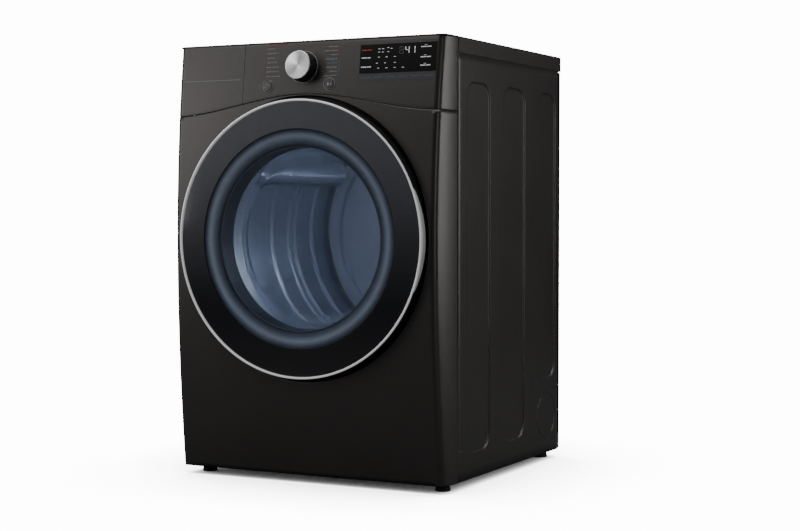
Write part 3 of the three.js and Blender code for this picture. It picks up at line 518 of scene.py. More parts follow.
# ------------------------------------------------------------ tunnel and drum
def build_tunnel(steel, rubber):
    """Collar from the door to the drum with the filter's slot left open below, its
    wall plate, and the soft gasket round its mouth."""
    y0, slot0, slot1, y1 = -0.3330, -0.2535, -0.2385, -0.2290
    steps = 180
    inner, outer = TUNNEL_R, TUNNEL_R + 0.0018
    full = lambda a, b: closed_profile([(inner, a), (outer, a), (outer, b), (inner, b)], 0.0004, 3)
    grids = [lathe(full(y0, slot0), DOOR_AXIS, steps), lathe(full(slot1, y1), DOOR_AXIS, steps)]
    part = full(slot0 + 0.0002, slot1 - 0.0002)
    grids.append(capped(lathe(part, DOOR_AXIS, steps, start=-68.0, sweep=316.0), axis=1))
    mesh_piece("tunnel_collar", grids, steel, "cabinet", ["front_bulkhead"], outward=True,
               around=[True, True, False])
    plate = [(TUNNEL_R, -0.2290), (0.3175, -0.2290), (0.3175, -0.2272), (TUNNEL_R, -0.2272)]
    angle = np.radians(np.arange(0, 360, 2))
    reach = np.minimum(np.minimum(0.338 / np.maximum(np.abs(np.cos(angle)), 1e-6),
                                  np.where(np.sin(angle) > 0, 0.330, 0.488) /
                                  np.maximum(np.abs(np.sin(angle)), 1e-6)), 2.0)
    rows = [np.stack([r * np.cos(angle), np.full_like(angle, yy), DOOR_Z + r * np.sin(angle)], axis=-1)
            for r, yy in ((np.full_like(angle, plate[0][0]), -0.2290), (reach, -0.2290),
                          (reach, -0.2272), (np.full_like(angle, plate[0][0]), -0.2272),
                          (np.full_like(angle, plate[0][0]), -0.2290))]
    mesh_piece("tunnel_plate", [np.stack(rows)], steel, "cabinet", outward=True, around=True)
    lip = closed_profile([(0.2432, -0.3350), (0.2432, -0.3400), (0.2475, -0.3428), (0.2540, -0.3412),
                          (0.2600, -0.3422), (0.2612, -0.3395), (0.2612, -0.3350)],
                         [0.0006, 0.0016, 0.0016, 0.002, 0.001, 0.0006, 0.0006], 5)
    turned_piece("gasket_lip", lip, 160, rubber, "cabinet", ["door_gasket"])


def build_drum(drum_steel, paddle, polished):
    """Shell with pressed rings: radius drops 5 mm in each soft groove. Three paddles
    swell from the wall with a rounded ridge and taper at their ends."""
    y = np.linspace(DRUM_LOW[1], DRUM_HIGH[1], 180)
    groove = np.zeros_like(y)
    beads = (-0.165, -0.115, 0.030, 0.110, 0.140, 0.225)
    for at in beads:
        groove += 0.0045 * np.exp(-((y - at) / 0.0055) ** 2)
    outer = np.stack([DRUM_R - groove, y], axis=-1)
    inner = np.stack([DRUM_R - 0.0016 - groove, y], axis=-1)[::-1]
    lips = [np.array([(DRUM_R - 0.0155, DRUM_HIGH[1])]), np.array([(DRUM_R - 0.0155, DRUM_HIGH[1] - 0.0016)])]
    front = [np.array([(DRUM_R - 0.0155, DRUM_LOW[1] + 0.0016)]), np.array([(DRUM_R - 0.0155, DRUM_LOW[1])])]
    inner[0, 1] -= 0.0016
    inner[-1, 1] += 0.0016
    profile = np.concatenate([outer, *lips, inner, *front, outer[:1]])
    mesh_piece("drum_wall", [lathe(profile, (0, DRUM_Z), 200)], drum_steel, "drum", ["drum_shell"],
               outward=True, around=True, crease=45)
    # The crests get a lighter copy of the drum's steel: polished crests whose brightness is partly painted
    # highlight.
    crest = [lathe(arc_profile(DRUM_R - 0.0063, at, 0.0011, 0, 360, 9), (0, DRUM_Z), 160) for at in beads]
    mesh_piece("drum_beads", crest, polished, "drum", outward=True, around=[True] * len(beads))
    for number, degrees in enumerate((150, 270, 30), 1):
        low, high = -0.203, 0.276
        s = np.linspace(0, 1, 60)
        along = low + (high - low) * s
        taper = np.clip(np.minimum(s, 1 - s) / 0.07, 0, 1) ** 0.6
        across = np.linspace(-1, 1, 33)
        ridge = 0.056 * (1 - np.abs(across) ** 2.2) ** 0.9
        h = ridge[None, :] * (0.25 + 0.75 * taper[:, None])
        w = 0.043 * across[None, :] * (0.8 + 0.2 * taper[:, None])
        radius = np.sqrt((DRUM_R - 0.003) ** 2 - w ** 2) - h
        turn = math.radians(degrees)
        x = radius * math.cos(turn) - w * math.sin(turn)
        z = DRUM_Z + radius * math.sin(turn) + w * math.cos(turn)
        skin = np.stack([x, np.broadcast_to(along[:, None], x.shape), z], axis=-1)
        radius0 = np.sqrt((DRUM_R - 0.0022) ** 2 - w ** 2)
        x0 = radius0 * math.cos(turn) - w * math.sin(turn)
        z0 = DRUM_Z + radius0 * math.sin(turn) + w * math.cos(turn)
        base = np.stack([x0, np.broadcast_to(along[:, None], x0.shape), z0], axis=-1)
        loop = np.concatenate([skin, base[:, ::-1], skin[:, :1]], axis=1)
        mesh_piece(f"paddle_{number}", [capped(loop)], paddle, "drum",
                   [f"drum_baffle_{number}"], outward=True, crease=50)


def build_rear_wall(steel):
    """Rear bulkhead seen through the drum: a shallow dish with two stepped rings."""
    r = np.concatenate([np.linspace(0.0, 0.3, 80), [0.3165]])
    step = lambda at, w: 1 / (1 + np.exp(-(r - at) / w))
    y = 0.2985 - 0.010 * (1 - step(0.262, 0.0022)) + 0.006 * (1 - step(0.090, 0.0022))
    back = np.stack([r[::-1], (y + 0.0012)[::-1]], axis=-1)
    profile = np.concatenate([np.stack([r, y], axis=-1), back])
    mesh_piece("rear_wall", [lathe(profile, (0, DRUM_Z), 160)], steel, "cabinet", ["rear_bulkhead"],
               outward=True, around=True, crease=50)


# -------------------------------------------------------------- control panel
def on_front(grid, x, z):
    """Lays a shape drawn round the Y axis on the bowed front at a place."""
    lean = float(front_lean(np.array(z)))
    c, s = math.cos(lean), math.sin(lean)
    px, py, pz = grid[..., 0], grid[..., 1], grid[..., 2]
    y0 = float(front_y(np.array(z)))
    return np.stack([x + px, y0 + py * c + pz * s, z - py * s + pz * c], axis=-1)


def build_knob(spun, black, light):
    """Turned knob: dark skirt, spun face with a fine chamfer, light ring."""
    x, z = KNOB_X, KNOB_Z
    skirt = smooth_open([(0.0, -0.0010), (0.0325, -0.0010), (0.0335, -0.0045), (0.0322, -0.0262),
                         (0.0, -0.0262)], [0, 0.0012, 0.002, 0.0008, 0], 5)
    grid = lathe(skirt, (0, 0), 144)
    mesh_piece("knob_skirt", [on_front(grid, x, z)], black, "knob", outward=True, around=True)
    face = smooth_open([(0.0, -0.0262), (0.0318, -0.0262), (0.0318, -0.0278), (0.0306, -0.0287),
                        (0.0, -0.0284)], [0, 0.0004, 0.0005, 0.0006, 0], 5)
    mesh_piece("knob_face", [on_front(lathe(face, (0, 0), 160), x, z)], spun, "knob", ["control_knob"],
               outward=True, around=True)
    ring = closed_profile([(0.0348, -0.0004), (0.0348, -0.0014), (0.0362, -0.0014), (0.0366, -0.0004)],
                          0.0003, 4)
    mesh_piece("knob_halo", [on_front(lathe(ring, (0, 0), 120), x, z)], light, "cabinet",
               ["knob_light_ring"], outward=True, around=True)


def build_buttons(paint, light):
    """Two round caps, 1.9 mm proud so that they stay in sight when pressed, each in a
    thin light ring with a plain sign on it. They pass through the fascia sheet, which
    has no hole cut for them."""
    for name, x, z in (("power", -0.094, 0.8915), ("start", 0.064, 0.891)):
        cap = smooth_open([(0.0, 0.0034), (0.0122, 0.0034), (0.0124, -0.0014), (0.0116, -0.0020),
                           (0.0, -0.0018)], [0, 0.0003, 0.0004, 0.0006, 0], 4)
        mesh_piece(f"{name}_cap", [on_front(lathe(cap, (0, 0), 96), x, z)], paint, name,
                   [f"{name}_button"], outward=True, around=True)
        ring = closed_profile([(0.0131, -0.0001), (0.0131, -0.0014), (0.0141, -0.0014),
                               (0.0143, -0.0001)], 0.0003, 3)
        mesh_piece(f"{name}_ring", [on_front(lathe(ring, (0, 0), 96), x, z)], light, "cabinet",
                   outward=True, around=True)
        signs = []
        if name == "power":
            arc = closed_profile([(0.0040, -0.0023), (0.0049, -0.0023), (0.0049, -0.0016),
                                  (0.0040, -0.0016)], 0.0001, 2)
            signs.append(capped(lathe(arc, (0, 0), 40, start=125, sweep=290), axis=1))
            signs.append(slab(-0.0005, 0.0005, 0.0012, 0.0062))
        else:
            signs += [slab(0.0026, 0.0036, -0.0040, 0.0040), slab(0.0046, 0.0056, -0.0040, 0.0040)]
            tip = slab(-0.0046, 0.0016, -0.0042, 0.0042)
            tip[..., 2] *= np.clip((0.0016 - tip[..., 0]) / 0.0062, 0.02, 1)
            signs.append(tip)
        mesh_piece(f"{name}_sign", [on_front(g, x, z) for g in signs], light, name, outward=True)


def slab(x0, x1, z0, z1, front=-0.0023, back=-0.0016, columns=6):
    """Thin closed plate: a flattened tube of rectangles with its two ends gathered."""
    x = np.linspace(x0, x1, columns)
    loop = np.array([(front, z0), (front, z1), (back, z1), (back, z0), (front, z0)])
    grid = np.stack([np.broadcast_to(x[:, None], (columns, 5)),
                     np.broadcast_to(loop[:, 0], (columns, 5)),
                     np.broadcast_to(loop[:, 1], (columns, 5))], axis=-1)
    return capped(grid)


def plate_on_front(x0, x1, z0, z1, out, sunk=0.0004, columns=3, rows=3):
    """Thin closed plate that follows the bow, from sunk behind the skin to out proud."""
    x = np.linspace(x0, x1, columns)
    z = np.linspace(z0, z1, rows)
    xx, zz = np.meshgrid(x, z, indexing="ij")
    front = front_point(xx, zz, out)
    back = front_point(xx, zz, -sunk)
    rim = lambda g: np.concatenate([g[0], g[1:, -1], g[-1, -2::-1], g[-2:0:-1, 0]])
    edge = np.stack([rim(back), rim(front)])
    edge = np.concatenate([edge, edge[:, :1]], axis=1)
    return [front, back, edge]


LABEL_LEFT = -0.101
LABEL_RIGHT = 0.082


def dashes(x0, x1, z, half=0.0011):
    """Boxes of a few widths in a row, grouped by small gaps, from x0 to x1."""
    widths = (0.0016, 0.0011, 0.0019, 0.0013, 0.0017)
    boxes, x, i = [], x0, 0
    while x + widths[i % 5] <= x1 + 1e-9:
        boxes.append((x, x + widths[i % 5], z - half, z + half))
        x += widths[i % 5] + (0.0018 if i % 6 == 5 else 0.0006)
        i += 1
    return boxes


def build_marks(white, crimson, blue, line):
    """Plain printed dashes where a panel carries its words, laid out in columns."""
    def marks(name, boxes, material, out=0.00016):
        grids = []
        for x0, x1, z0, z1 in boxes:
            grids += plate_on_front(x0, x1, z0, z1, out)
        mesh_piece(name, grids, material, "cabinet", outward=True)

    left = [(LABEL_LEFT, LABEL_LEFT + w, 0.9752 - 0.0103 * i)
            for i, w in enumerate((0.019, 0.031, 0.021, 0.027, 0.032, 0.032, 0.036))]
    right = [(LABEL_RIGHT - w, LABEL_RIGHT, 0.9742 - 0.0092 * i)
             for i, w in enumerate((0.025, 0.033, 0.018, 0.033, 0.028, 0.028, 0.021, 0.034))]
    leaders = [(x1 + 0.002, -0.046, z - 0.0002, z + 0.0002) for _, x1, z in left[:3]]
    leaders += [(0.037, x0 - 0.002, z - 0.0002, z + 0.0002) for x0, _, z in right if x0 > 0.042]
    marks("panel_dashes", [box for row in left + right[:4] + right[5:] for box in dashes(*row)], white)
    marks("panel_leaders", leaders, line)
    marks("panel_bracket_red", [(-0.1045, -0.1038, 0.908, 0.9815), (-0.1036, -0.042, 0.9808, 0.9815),
                                (0.0855, 0.0862, 0.944, 0.9790)], crimson)
    marks("panel_dashes_red", dashes(-0.098, -0.046, 0.9842), crimson)
    marks("power_note", dashes(-0.1190, -0.1095, 0.8935) + dashes(-0.1190, -0.1095, 0.8885), line)
    marks("panel_bracket_blue", dashes(*right[4]) + [(0.0855, 0.0862, 0.914, 0.9425)], blue)
    rule = plate_on_front(-FLAT + 0.001, -0.168, 0.9082, 0.9093, 0.00016, columns=12)
    mesh_piece("drawer_line", rule, white, "drawer", outward=True)


def build_display(glass, strip, white, crimson, dim):
    """Gloss window with lit marks, and the grey row of touch keys under it."""
    (x0, _, z0), (x1, _, z1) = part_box("display_window")
    mesh_piece("display_glass", plate_on_front(x0, x1, z0, z1, 0.0005, columns=12, rows=8), glass,
               "cabinet", ["display_window"], outward=True)
    mesh_piece("touch_strip", plate_on_front(x0, x1, 0.8945, z0 - 0.0006, 0.0004, columns=12, rows=4),
               strip, "cabinet", outward=True)
    lit, red, faint = [], [], []
    add = lambda target, a, b, c, d: target.extend(plate_on_front(x0 + a, x0 + b, z0 + c, z0 + d,
                                                                 0.00075, sunk=-0.0004))
    segments = {
        "a": (0.18, 0.82, 0.92, 1.0), "b": (0.84, 1.0, 0.54, 0.94), "c": (0.84, 1.0, 0.06, 0.46),
        "d": (0.18, 0.82, 0.0, 0.08), "e": (0.0, 0.16, 0.06, 0.46), "f": (0.0, 0.16, 0.54, 0.94),
        "g": (0.18, 0.82, 0.46, 0.54),
    }
    digits = {"8": "abcdefg", "4": "bcfg", "1": "bc"}
    for target, symbol, at in ((faint, "8", 0.096), (lit, "4", 0.110), (lit, "1", 0.124)):
        for key in digits[symbol]:
            a, b, c, d = segments[key]
            add(target, at + 0.0100 * a, at + 0.0100 * b, 0.0400 + 0.0160 * c, 0.0400 + 0.0160 * d)
    options = ((0.050, (0.004, 0.016)), (0.033, (0.004, 0.026)), (0.013, (0.004, 0.028)))
    for row, (h, xs) in enumerate(options):
        for a, b, _, _ in dashes(xs[0], xs[1] + (0.012 if row == 0 else 0), 0):
            add(red if row == 0 else lit, a, b, h, h + 0.0021)
    ticks = ((0.044, 0.052), (0.053, 0.052), (0.066, 0.054), (0.074, 0.052), (0.044, 0.045),
             (0.053, 0.045), (0.066, 0.045), (0.044, 0.034), (0.063, 0.034), (0.083, 0.034),
             (0.040, 0.021), (0.060, 0.021), (0.084, 0.021), (0.044, 0.010),
             (0.064, 0.010), (0.084, 0.010), (0.104, 0.010))
    for a, h in ticks:
        add(lit, a, a + 0.0050, h, h + 0.0010)
    for i, h in enumerate((0.052, 0.030, 0.012)):
        for a, b, _, _ in dashes(0.148, 0.172, 0):
            add(lit, a, b, h, h + 0.0020)
        add(lit, 0.156, 0.162, h + 0.0046, h + 0.0052)
    mesh_piece("display_lit", lit, white, "cabinet", outward=True)
    mesh_piece("display_red", red, crimson, "cabinet", outward=True)
    mesh_piece("display_dim", faint, dim, "cabinet", outward=True)
    keys, bars = [], []
    for i in range(6):
        a = x0 + 0.002 + i * 0.0308
        keys += plate_on_front(a + 0.002, a + 0.0255, 0.9010, 0.9032, 0.00065, sunk=-0.0003)
        if i:
            bars += plate_on_front(a - 0.0014, a - 0.0009, 0.8970, 0.9075, 0.00065, sunk=-0.0003)
    mesh_piece("touch_marks", keys + bars, dim, "cabinet", outward=True)


# ------------------------------------------------------------------- materials
def node_group(name, inputs, outputs):
    """New shader group with named sockets, and its input and output nodes."""
    tree = bpy.data.node_groups.new(name, "ShaderNodeTree")
    for label, kind, value in inputs:
        socket = tree.interface.new_socket(label, in_out="INPUT", socket_type=kind)
        socket.default_value = value
    for label, kind in outputs:
        tree.interface.new_socket(label, in_out="OUTPUT", socket_type=kind)
    return tree, tree.nodes.new("NodeGroupInput"), tree.nodes.new("NodeGroupOutput")


def calc(tree, operation, *values):
    """Math node on numbers or sockets; returns its result."""
    node = tree.nodes.new("ShaderNodeMath")
    node.operation = operation
    for slot, value in zip(node.inputs, values):
        if isinstance(value, (int, float)):
            slot.default_value = value
        else:
            tree.links.new(value, slot)
    return node.outputs[0]


def noise(tree, vector, scale, detail=3.0):
    """Noise texture between 0 and 1 on a vector."""
    node = tree.nodes.new("ShaderNodeTexNoise")
    node.inputs["Detail"].default_value = detail
    tree.links.new(vector, node.inputs["Vector"])
    if isinstance(scale, (int, float)):
        node.inputs["Scale"].default_value = scale
    else:
        tree.links.new(scale, node.inputs["Scale"])
    return node.outputs["Fac"]


PATTERN_INPUTS = [
    ("Colour", "NodeSocketColor", (0.5, 0.5, 0.5, 1.0)),
    ("Tone", "NodeSocketFloat", 0.05),
    ("Scale", "NodeSocketFloat", 400.0),
    ("Roughness", "NodeSocketFloat", 0.5),
    ("Spread", "NodeSocketFloat", 0.05),
]
PATTERN_OUTPUTS = [("Colour", "NodeSocketColor"), ("Roughness", "NodeSocketFloat"),
                   ("Height", "NodeSocketFloat")]


def send_out(tree, given, result, fine, broad):
    """Shades the colour and the roughness by a fine and a broad pattern."""
    mixed = calc(tree, "ADD", calc(tree, "MULTIPLY", fine, 0.6), calc(tree, "MULTIPLY", broad, 1.0))
    swing = calc(tree, "MULTIPLY", calc(tree, "SUBTRACT", mixed, 0.8), given.outputs["Tone"])
    level = calc(tree, "MULTIPLY_ADD", swing, 2.0, 1.0)
    shade = tree.nodes.new("ShaderNodeVectorMath")
    shade.operation = "SCALE"
    tree.links.new(given.outputs["Colour"], shade.inputs[0])
    tree.links.new(level, shade.inputs["Scale"])
    tree.links.new(shade.outputs["Vector"], result.inputs["Colour"])
    offset = calc(tree, "MULTIPLY", calc(tree, "SUBTRACT", broad, 0.5), given.outputs["Spread"])
    rough = calc(tree, "MAXIMUM", calc(tree, "MULTIPLY_ADD", offset, 2.0, given.outputs["Roughness"]), 0.0)
    tree.links.new(rough, result.inputs["Roughness"])
    tree.links.new(fine, result.inputs["Height"])


def make_patterns():
    """Four surface patterns: fine grain, brushed lines, zinc spangle and turned lines."""
    patterns = {}
    for name in ("grain", "brushed", "spangle", "turned"):
        extra = []
        if name == "brushed":
            extra = [("Stretch", "NodeSocketVector", (1.0, 1.0, 1.0))]
        if name == "turned":
            extra = [("Centre", "NodeSocketVector", (0.0, 0.0, 0.0))]
        tree, given, result = node_group(name, PATTERN_INPUTS + extra, PATTERN_OUTPUTS)
        place = tree.nodes.new("ShaderNodeTexCoord").outputs["Object"]
        broad = noise(tree, place, 5.0, 2.0)
        if name == "grain":
            fine = noise(tree, place, given.outputs["Scale"])
        elif name == "brushed":
            stretch = tree.nodes.new("ShaderNodeVectorMath")
            stretch.operation = "MULTIPLY"
            tree.links.new(place, stretch.inputs[0])
            tree.links.new(given.outputs["Stretch"], stretch.inputs[1])
            fine = noise(tree, stretch.outputs["Vector"], given.outputs["Scale"])
        elif name == "spangle":
            cells = tree.nodes.new("ShaderNodeTexVoronoi")
            tree.links.new(place, cells.inputs["Vector"])
            tree.links.new(given.outputs["Scale"], cells.inputs["Scale"])
            split = tree.nodes.new("ShaderNodeSeparateColor")
            tree.links.new(cells.outputs["Color"], split.inputs[0])
            fine = split.outputs[0]
        else:
            offset = tree.nodes.new("ShaderNodeVectorMath")
            offset.operation = "SUBTRACT"
            tree.links.new(place, offset.inputs[0])
            tree.links.new(given.outputs["Centre"], offset.inputs[1])
            parts = tree.nodes.new("ShaderNodeSeparateXYZ")
            tree.links.new(offset.outputs["Vector"], parts.inputs[0])
            square = calc(tree, "ADD", calc(tree, "POWER", calc(tree, "ABSOLUTE", parts.outputs[0]), 2.0),
                          calc(tree, "POWER", calc(tree, "ABSOLUTE", parts.outputs[2]), 2.0))
            radius = calc(tree, "SQRT", square)
            line = tree.nodes.new("ShaderNodeCombineXYZ")
            tree.links.new(radius, line.inputs[0])
            fine = noise(tree, line.outputs[0], given.outputs["Scale"])
        send_out(tree, given, result, fine, broad)
        patterns[name] = tree
    return patterns


PATTERNS = make_patterns()


def finish(name, colour, metallic, roughness, pattern="grain", scale=400.0, tone=0.05, spread=0.05,
           bump=0.1, depth=0.0001, extra=None, emission=None, **settings):
    """Principled material whose colour, roughness and bump come from a pattern group.

    extra gives the pattern's own input; settings go straight on the shader's sockets,
    with underscores for spaces."""
    material = bpy.data.materials.new(name)
    material.use_nodes = True
    tree = material.node_tree
    shader = tree.nodes["Principled BSDF"]
    group = tree.nodes.new("ShaderNodeGroup")
    group.node_tree = PATTERNS[pattern]
    group.inputs["Colour"].default_value = (*colour, 1.0)
    group.inputs["Tone"].default_value = tone
    group.inputs["Scale"].default_value = scale
    group.inputs["Roughness"].default_value = roughness
    group.inputs["Spread"].default_value = spread
    set_inputs(group, **(extra or {}))
    tree.links.new(group.outputs["Colour"], shader.inputs["Base Color"])
    tree.links.new(group.outputs["Roughness"], shader.inputs["Roughness"])
    shader.inputs["Metallic"].default_value = metallic
    if bump:
        relief = tree.nodes.new("ShaderNodeBump")
        relief.inputs["Strength"].default_value = bump
        relief.inputs["Distance"].default_value = depth
        tree.links.new(group.outputs["Height"], relief.inputs["Height"])
        tree.links.new(relief.outputs["Normal"], shader.inputs["Normal"])
    if emission:
        tree.links.new(group.outputs["Colour"], shader.inputs["Emission Color"])
        shader.inputs["Emission Strength"].default_value = emission
    set_inputs(shader, **settings)
    return material


def spun_lines(material):
    """Turns the shine round the knob's axis, as a turned face does."""
    tree = material.node_tree
    shader = tree.nodes["Principled BSDF"]
    tangent = tree.nodes.new("ShaderNodeTangent")
    tangent.direction_type = "RADIAL"
    tangent.axis = "Y"
    tree.links.new(tangent.outputs[0], shader.inputs["Tangent"])
    shader.inputs["Anisotropic"].default_value = 0.85
    return material


def let_light_in(material, tint):
    """Glass that lamps shine straight through, tinted, so that what is behind it is lit."""
    tree = material.node_tree
    shader = tree.nodes["Principled BSDF"]
    clear = tree.nodes.new("ShaderNodeBsdfTransparent")
    clear.inputs["Color"].default_value = (*tint, 1.0)
    path = tree.nodes.new("ShaderNodeLightPath")
    mix = tree.nodes.new("ShaderNodeMixShader")
    tree.links.new(path.outputs["Is Shadow Ray"], mix.inputs[0])
    tree.links.new(shader.outputs[0], mix.inputs[1])
    tree.links.new(clear.outputs[0], mix.inputs[2])
    tree.links.new(mix.outputs[0], tree.nodes["Material Output"].inputs["Surface"])
    return material


def multiply_colour(tree, factor):
    """Multiplies the shader's present base colour by a socket."""
    base = tree.nodes["Principled BSDF"].inputs["Base Color"]
    mix = tree.nodes.new("ShaderNodeMix")
    mix.data_type = "RGBA"
    mix.blend_type = "MULTIPLY"
    mix.inputs["Factor"].default_value = 1.0
    tree.links.new(base.links[0].from_socket, mix.inputs["A"])
    tree.links.new(factor, mix.inputs["B"])
    tree.links.new(mix.outputs["Result"], base)


def set_inputs(node, **values):
    """Sets a node's sockets by name, with underscores for spaces."""
    for label, value in values.items():
        node.inputs[label.replace("_", " ")].default_value = value


def paint_reflection_fade(material):
    """Smoked glass with a painted reflection: its colour is dark at the bottom of the door and paler on top.
    """
    tree = material.node_tree
    height = tree.nodes.new("ShaderNodeSeparateXYZ")
    tree.links.new(tree.nodes.new("ShaderNodeTexCoord").outputs["Object"], height.inputs[0])
    share = tree.nodes.new("ShaderNodeMapRange")
    share.interpolation_type = "SMOOTHSTEP"
    set_inputs(share, From_Min=DOOR_Z - 0.18, From_Max=DOOR_Z + DOOR_R, To_Min=0.12, To_Max=1.0)
    tree.links.new(height.outputs["Z"], share.inputs["Value"])
    multiply_colour(tree, share.outputs[0])
    return material


def painted_glow_ring():
    """Frosted mouth of the bowl with painted light in its colour: painted shade, black at its outer edge, a
    painted glow of soft blue grey further in, and painted shade again down its inner wall.
    """
    material = finish("frosted_mouth_painted_glow", (0.95, 0.96, 0.99), 0.0, 0.42, scale=500.0, tone=0.04, spread=0.03,
                      bump=0.1, depth=0.0001)
    tree = material.node_tree
    place = tree.nodes.new("ShaderNodeTexCoord").outputs["Object"]
    offset = tree.nodes.new("ShaderNodeVectorMath")
    offset.operation = "SUBTRACT"
    tree.links.new(place, offset.inputs[0])
    offset.inputs[1].default_value = (0.0, 0.0, DOOR_Z)
    flat = tree.nodes.new("ShaderNodeVectorMath")
    flat.operation = "MULTIPLY"
    tree.links.new(offset.outputs["Vector"], flat.inputs[0])
    flat.inputs[1].default_value = (1.0, 0.0, 1.0)
    reach = tree.nodes.new("ShaderNodeVectorMath")
    reach.operation = "LENGTH"
    tree.links.new(flat.outputs["Vector"], reach.inputs[0])
    share = tree.nodes.new("ShaderNodeMapRange")
    set_inputs(share, From_Min=PANE_R, From_Max=0.2030)
    tree.links.new(reach.outputs["Value"], share.inputs["Value"])
    ramp = tree.nodes.new("ShaderNodeValToRGB")
    tree.links.new(share.outputs[0], ramp.inputs["Fac"])
    # Ramp stops: painted shade at both ends, a painted glow peaking at 0.42.
    stops = [(0.0, (0.03, 0.03, 0.032, 1)), (0.17, (0.30, 0.31, 0.33, 1)), (0.42, (1.0, 1.0, 1.0, 1)),
             (0.68, (0.35, 0.36, 0.38, 1)), (0.90, (0.10, 0.10, 0.12, 1)), (1.0, (0.05, 0.055, 0.07, 1))]
    ramp.color_ramp.elements[0].position, ramp.color_ramp.elements[0].color = stops[0]
    ramp.color_ramp.elements[1].position, ramp.color_ramp.elements[1].color = stops[-1]
    for position, colour in stops[1:-1]:
        ramp.color_ramp.elements.new(position).color = colour
    multiply_colour(tree, ramp.outputs["Color"])
    return material


PAINT = finish("dark_steel_paint", (0.078, 0.073, 0.071), 0.8, 0.36, scale=900.0, tone=0.05, spread=0.03,
               bump=0.12, depth=0.00006)
EDGE_PAINT = finish("button_paint", (0.085, 0.080, 0.078), 0.8, 0.32, scale=900.0, tone=0.05, spread=0.03,
                    bump=0.1, depth=0.00005)
# Emission makes the chrome glow though it is no lamp: painted light.
CHROME = finish("chrome_painted_glow", (0.93, 0.93, 0.94), 0.40, 0.24, scale=60.0, tone=0.03, spread=0.03,
                bump=0.02, depth=0.00003, emission=0.26)
# Emission makes the satin silver glow a little though it is no lamp: painted light.
SILVER = finish("satin_silver_painted_glow", (0.88, 0.88, 0.89), 0.30, 0.30, scale=300.0, tone=0.03, spread=0.03,
                bump=0.03, depth=0.00003, emission=0.06)
SPUN = spun_lines(finish("spun_aluminium", (0.80, 0.80, 0.81), 1.0, 0.30, "turned", 900.0, 0.05, 0.02,
                         0.2, 0.00004, extra={"Centre": (KNOB_X, 0.0, KNOB_Z)}))
# gloss_black carries a painted reflection: its colour grows paler up the door.
GLOSS = paint_reflection_fade(finish("gloss_black", (0.135, 0.138, 0.158), 0.0, 0.07, scale=40.0, tone=0.10,
                       spread=0.02, bump=0.01, depth=0.00003, Specular_IOR_Level=0.62))
DISPLAY = finish("display_black", (0.0035, 0.0035, 0.004), 0.0, 0.34, scale=700.0, tone=0.10, spread=0.02,
                 bump=0.02, depth=0.00003, Specular_IOR_Level=0.16)
BLACK = finish("black_moulding", (0.018, 0.018, 0.019), 0.0, 0.42, scale=1400.0, tone=0.10, spread=0.05,
               bump=0.30, depth=0.00008)
GREY = finish("grey_moulding", (0.26, 0.27, 0.29), 0.0, 0.50, scale=1400.0, tone=0.05, spread=0.05,
              bump=0.25, depth=0.00008)
DARK_GREY = finish("dark_grey_moulding", (0.045, 0.047, 0.052), 0.0, 0.40, scale=1400.0, tone=0.06,
                   spread=0.05, bump=0.2, depth=0.00008)
PALE = finish("white_moulding", (0.62, 0.63, 0.64), 0.0, 0.45, scale=1400.0, tone=0.04, spread=0.05,
              bump=0.2, depth=0.00008)
ZINC = finish("galvanised_sheet", (0.52, 0.54, 0.56), 0.85, 0.38, "spangle", 95.0, 0.07, 0.06, 0.06, 0.00006)
# Paler than the drum's stainless steel, so that the rear wall reads as lit: painted light.
REAR_STEEL = finish("rear_stainless_painted_light", (0.92, 0.94, 0.98), 0.45, 0.32, "brushed", 220.0, 0.06, 0.04, 0.1,
                    0.00005, extra={"Stretch": (1.0, 1.0, 8.0)})
# Paler copy of the drum's steel for the ring crests: partly polish, partly painted highlight.
BEAD_POLISH_AND_HIGHLIGHT = finish("bead_polish_and_painted_highlight", (0.85, 0.88, 0.94), 0.4, 0.25, scale=300.0, tone=0.04, spread=0.03,
                    bump=0.03, depth=0.00003)
DRUM_STEEL = finish("drum_stainless", (0.38, 0.405, 0.47), 0.5, 0.32, "brushed", 220.0, 0.06, 0.04, 0.15,
                    0.00006, extra={"Stretch": (1.0, 9.0, 1.0)})
RUBBER = finish("black_rubber", (0.022, 0.022, 0.023), 0.0, 0.70, scale=700.0, tone=0.12, spread=0.06,
                bump=0.35, depth=0.00012)
FELT = finish("wool_felt", (0.42, 0.40, 0.36), 0.0, 0.95, scale=1800.0, tone=0.18, spread=0.03, bump=0.8,
              depth=0.0004)
BOARD = finish("circuit_board", (0.03, 0.16, 0.07), 0.0, 0.40, scale=300.0, tone=0.2, spread=0.05,
               bump=0.2, depth=0.0001)
COIL = finish("heating_wire", (0.42, 0.38, 0.35), 0.9, 0.45, scale=500.0, tone=0.12, spread=0.08,
              bump=0.2, depth=0.0001)
MESH = finish("filter_mesh", (0.05, 0.055, 0.065), 0.0, 0.50, "spangle", 900.0, 0.4, 0.05, 0.8, 0.0003)
RING_LIGHT = finish("light_guide", (0.40, 0.41, 0.42), 0.0, 0.30, scale=300.0, tone=0.04, spread=0.04,
                    bump=0.05, depth=0.00005)
PRINT = finish("pale_print", (0.30, 0.30, 0.30), 0.0, 0.45, scale=800.0, tone=0.12, spread=0.04, bump=0.05)
PRINT_LINE = finish("grey_print", (0.16, 0.155, 0.15), 0.0, 0.45, scale=800.0, tone=0.10, spread=0.04,
                    bump=0.05)
CRIMSON = finish("crimson_print", (0.28, 0.012, 0.030), 0.0, 0.45, scale=800.0, tone=0.1, spread=0.04,
                 bump=0.05)
BLUE = finish("blue_print", (0.05, 0.22, 0.34), 0.0, 0.45, scale=800.0, tone=0.1, spread=0.04, bump=0.05)
LIT = finish("lit_white", (0.72, 0.73, 0.75), 0.0, 0.4, scale=800.0, tone=0.05, emission=0.55)
LIT_RED = finish("lit_crimson", (0.40, 0.02, 0.04), 0.0, 0.4, scale=800.0, tone=0.05, emission=0.5)
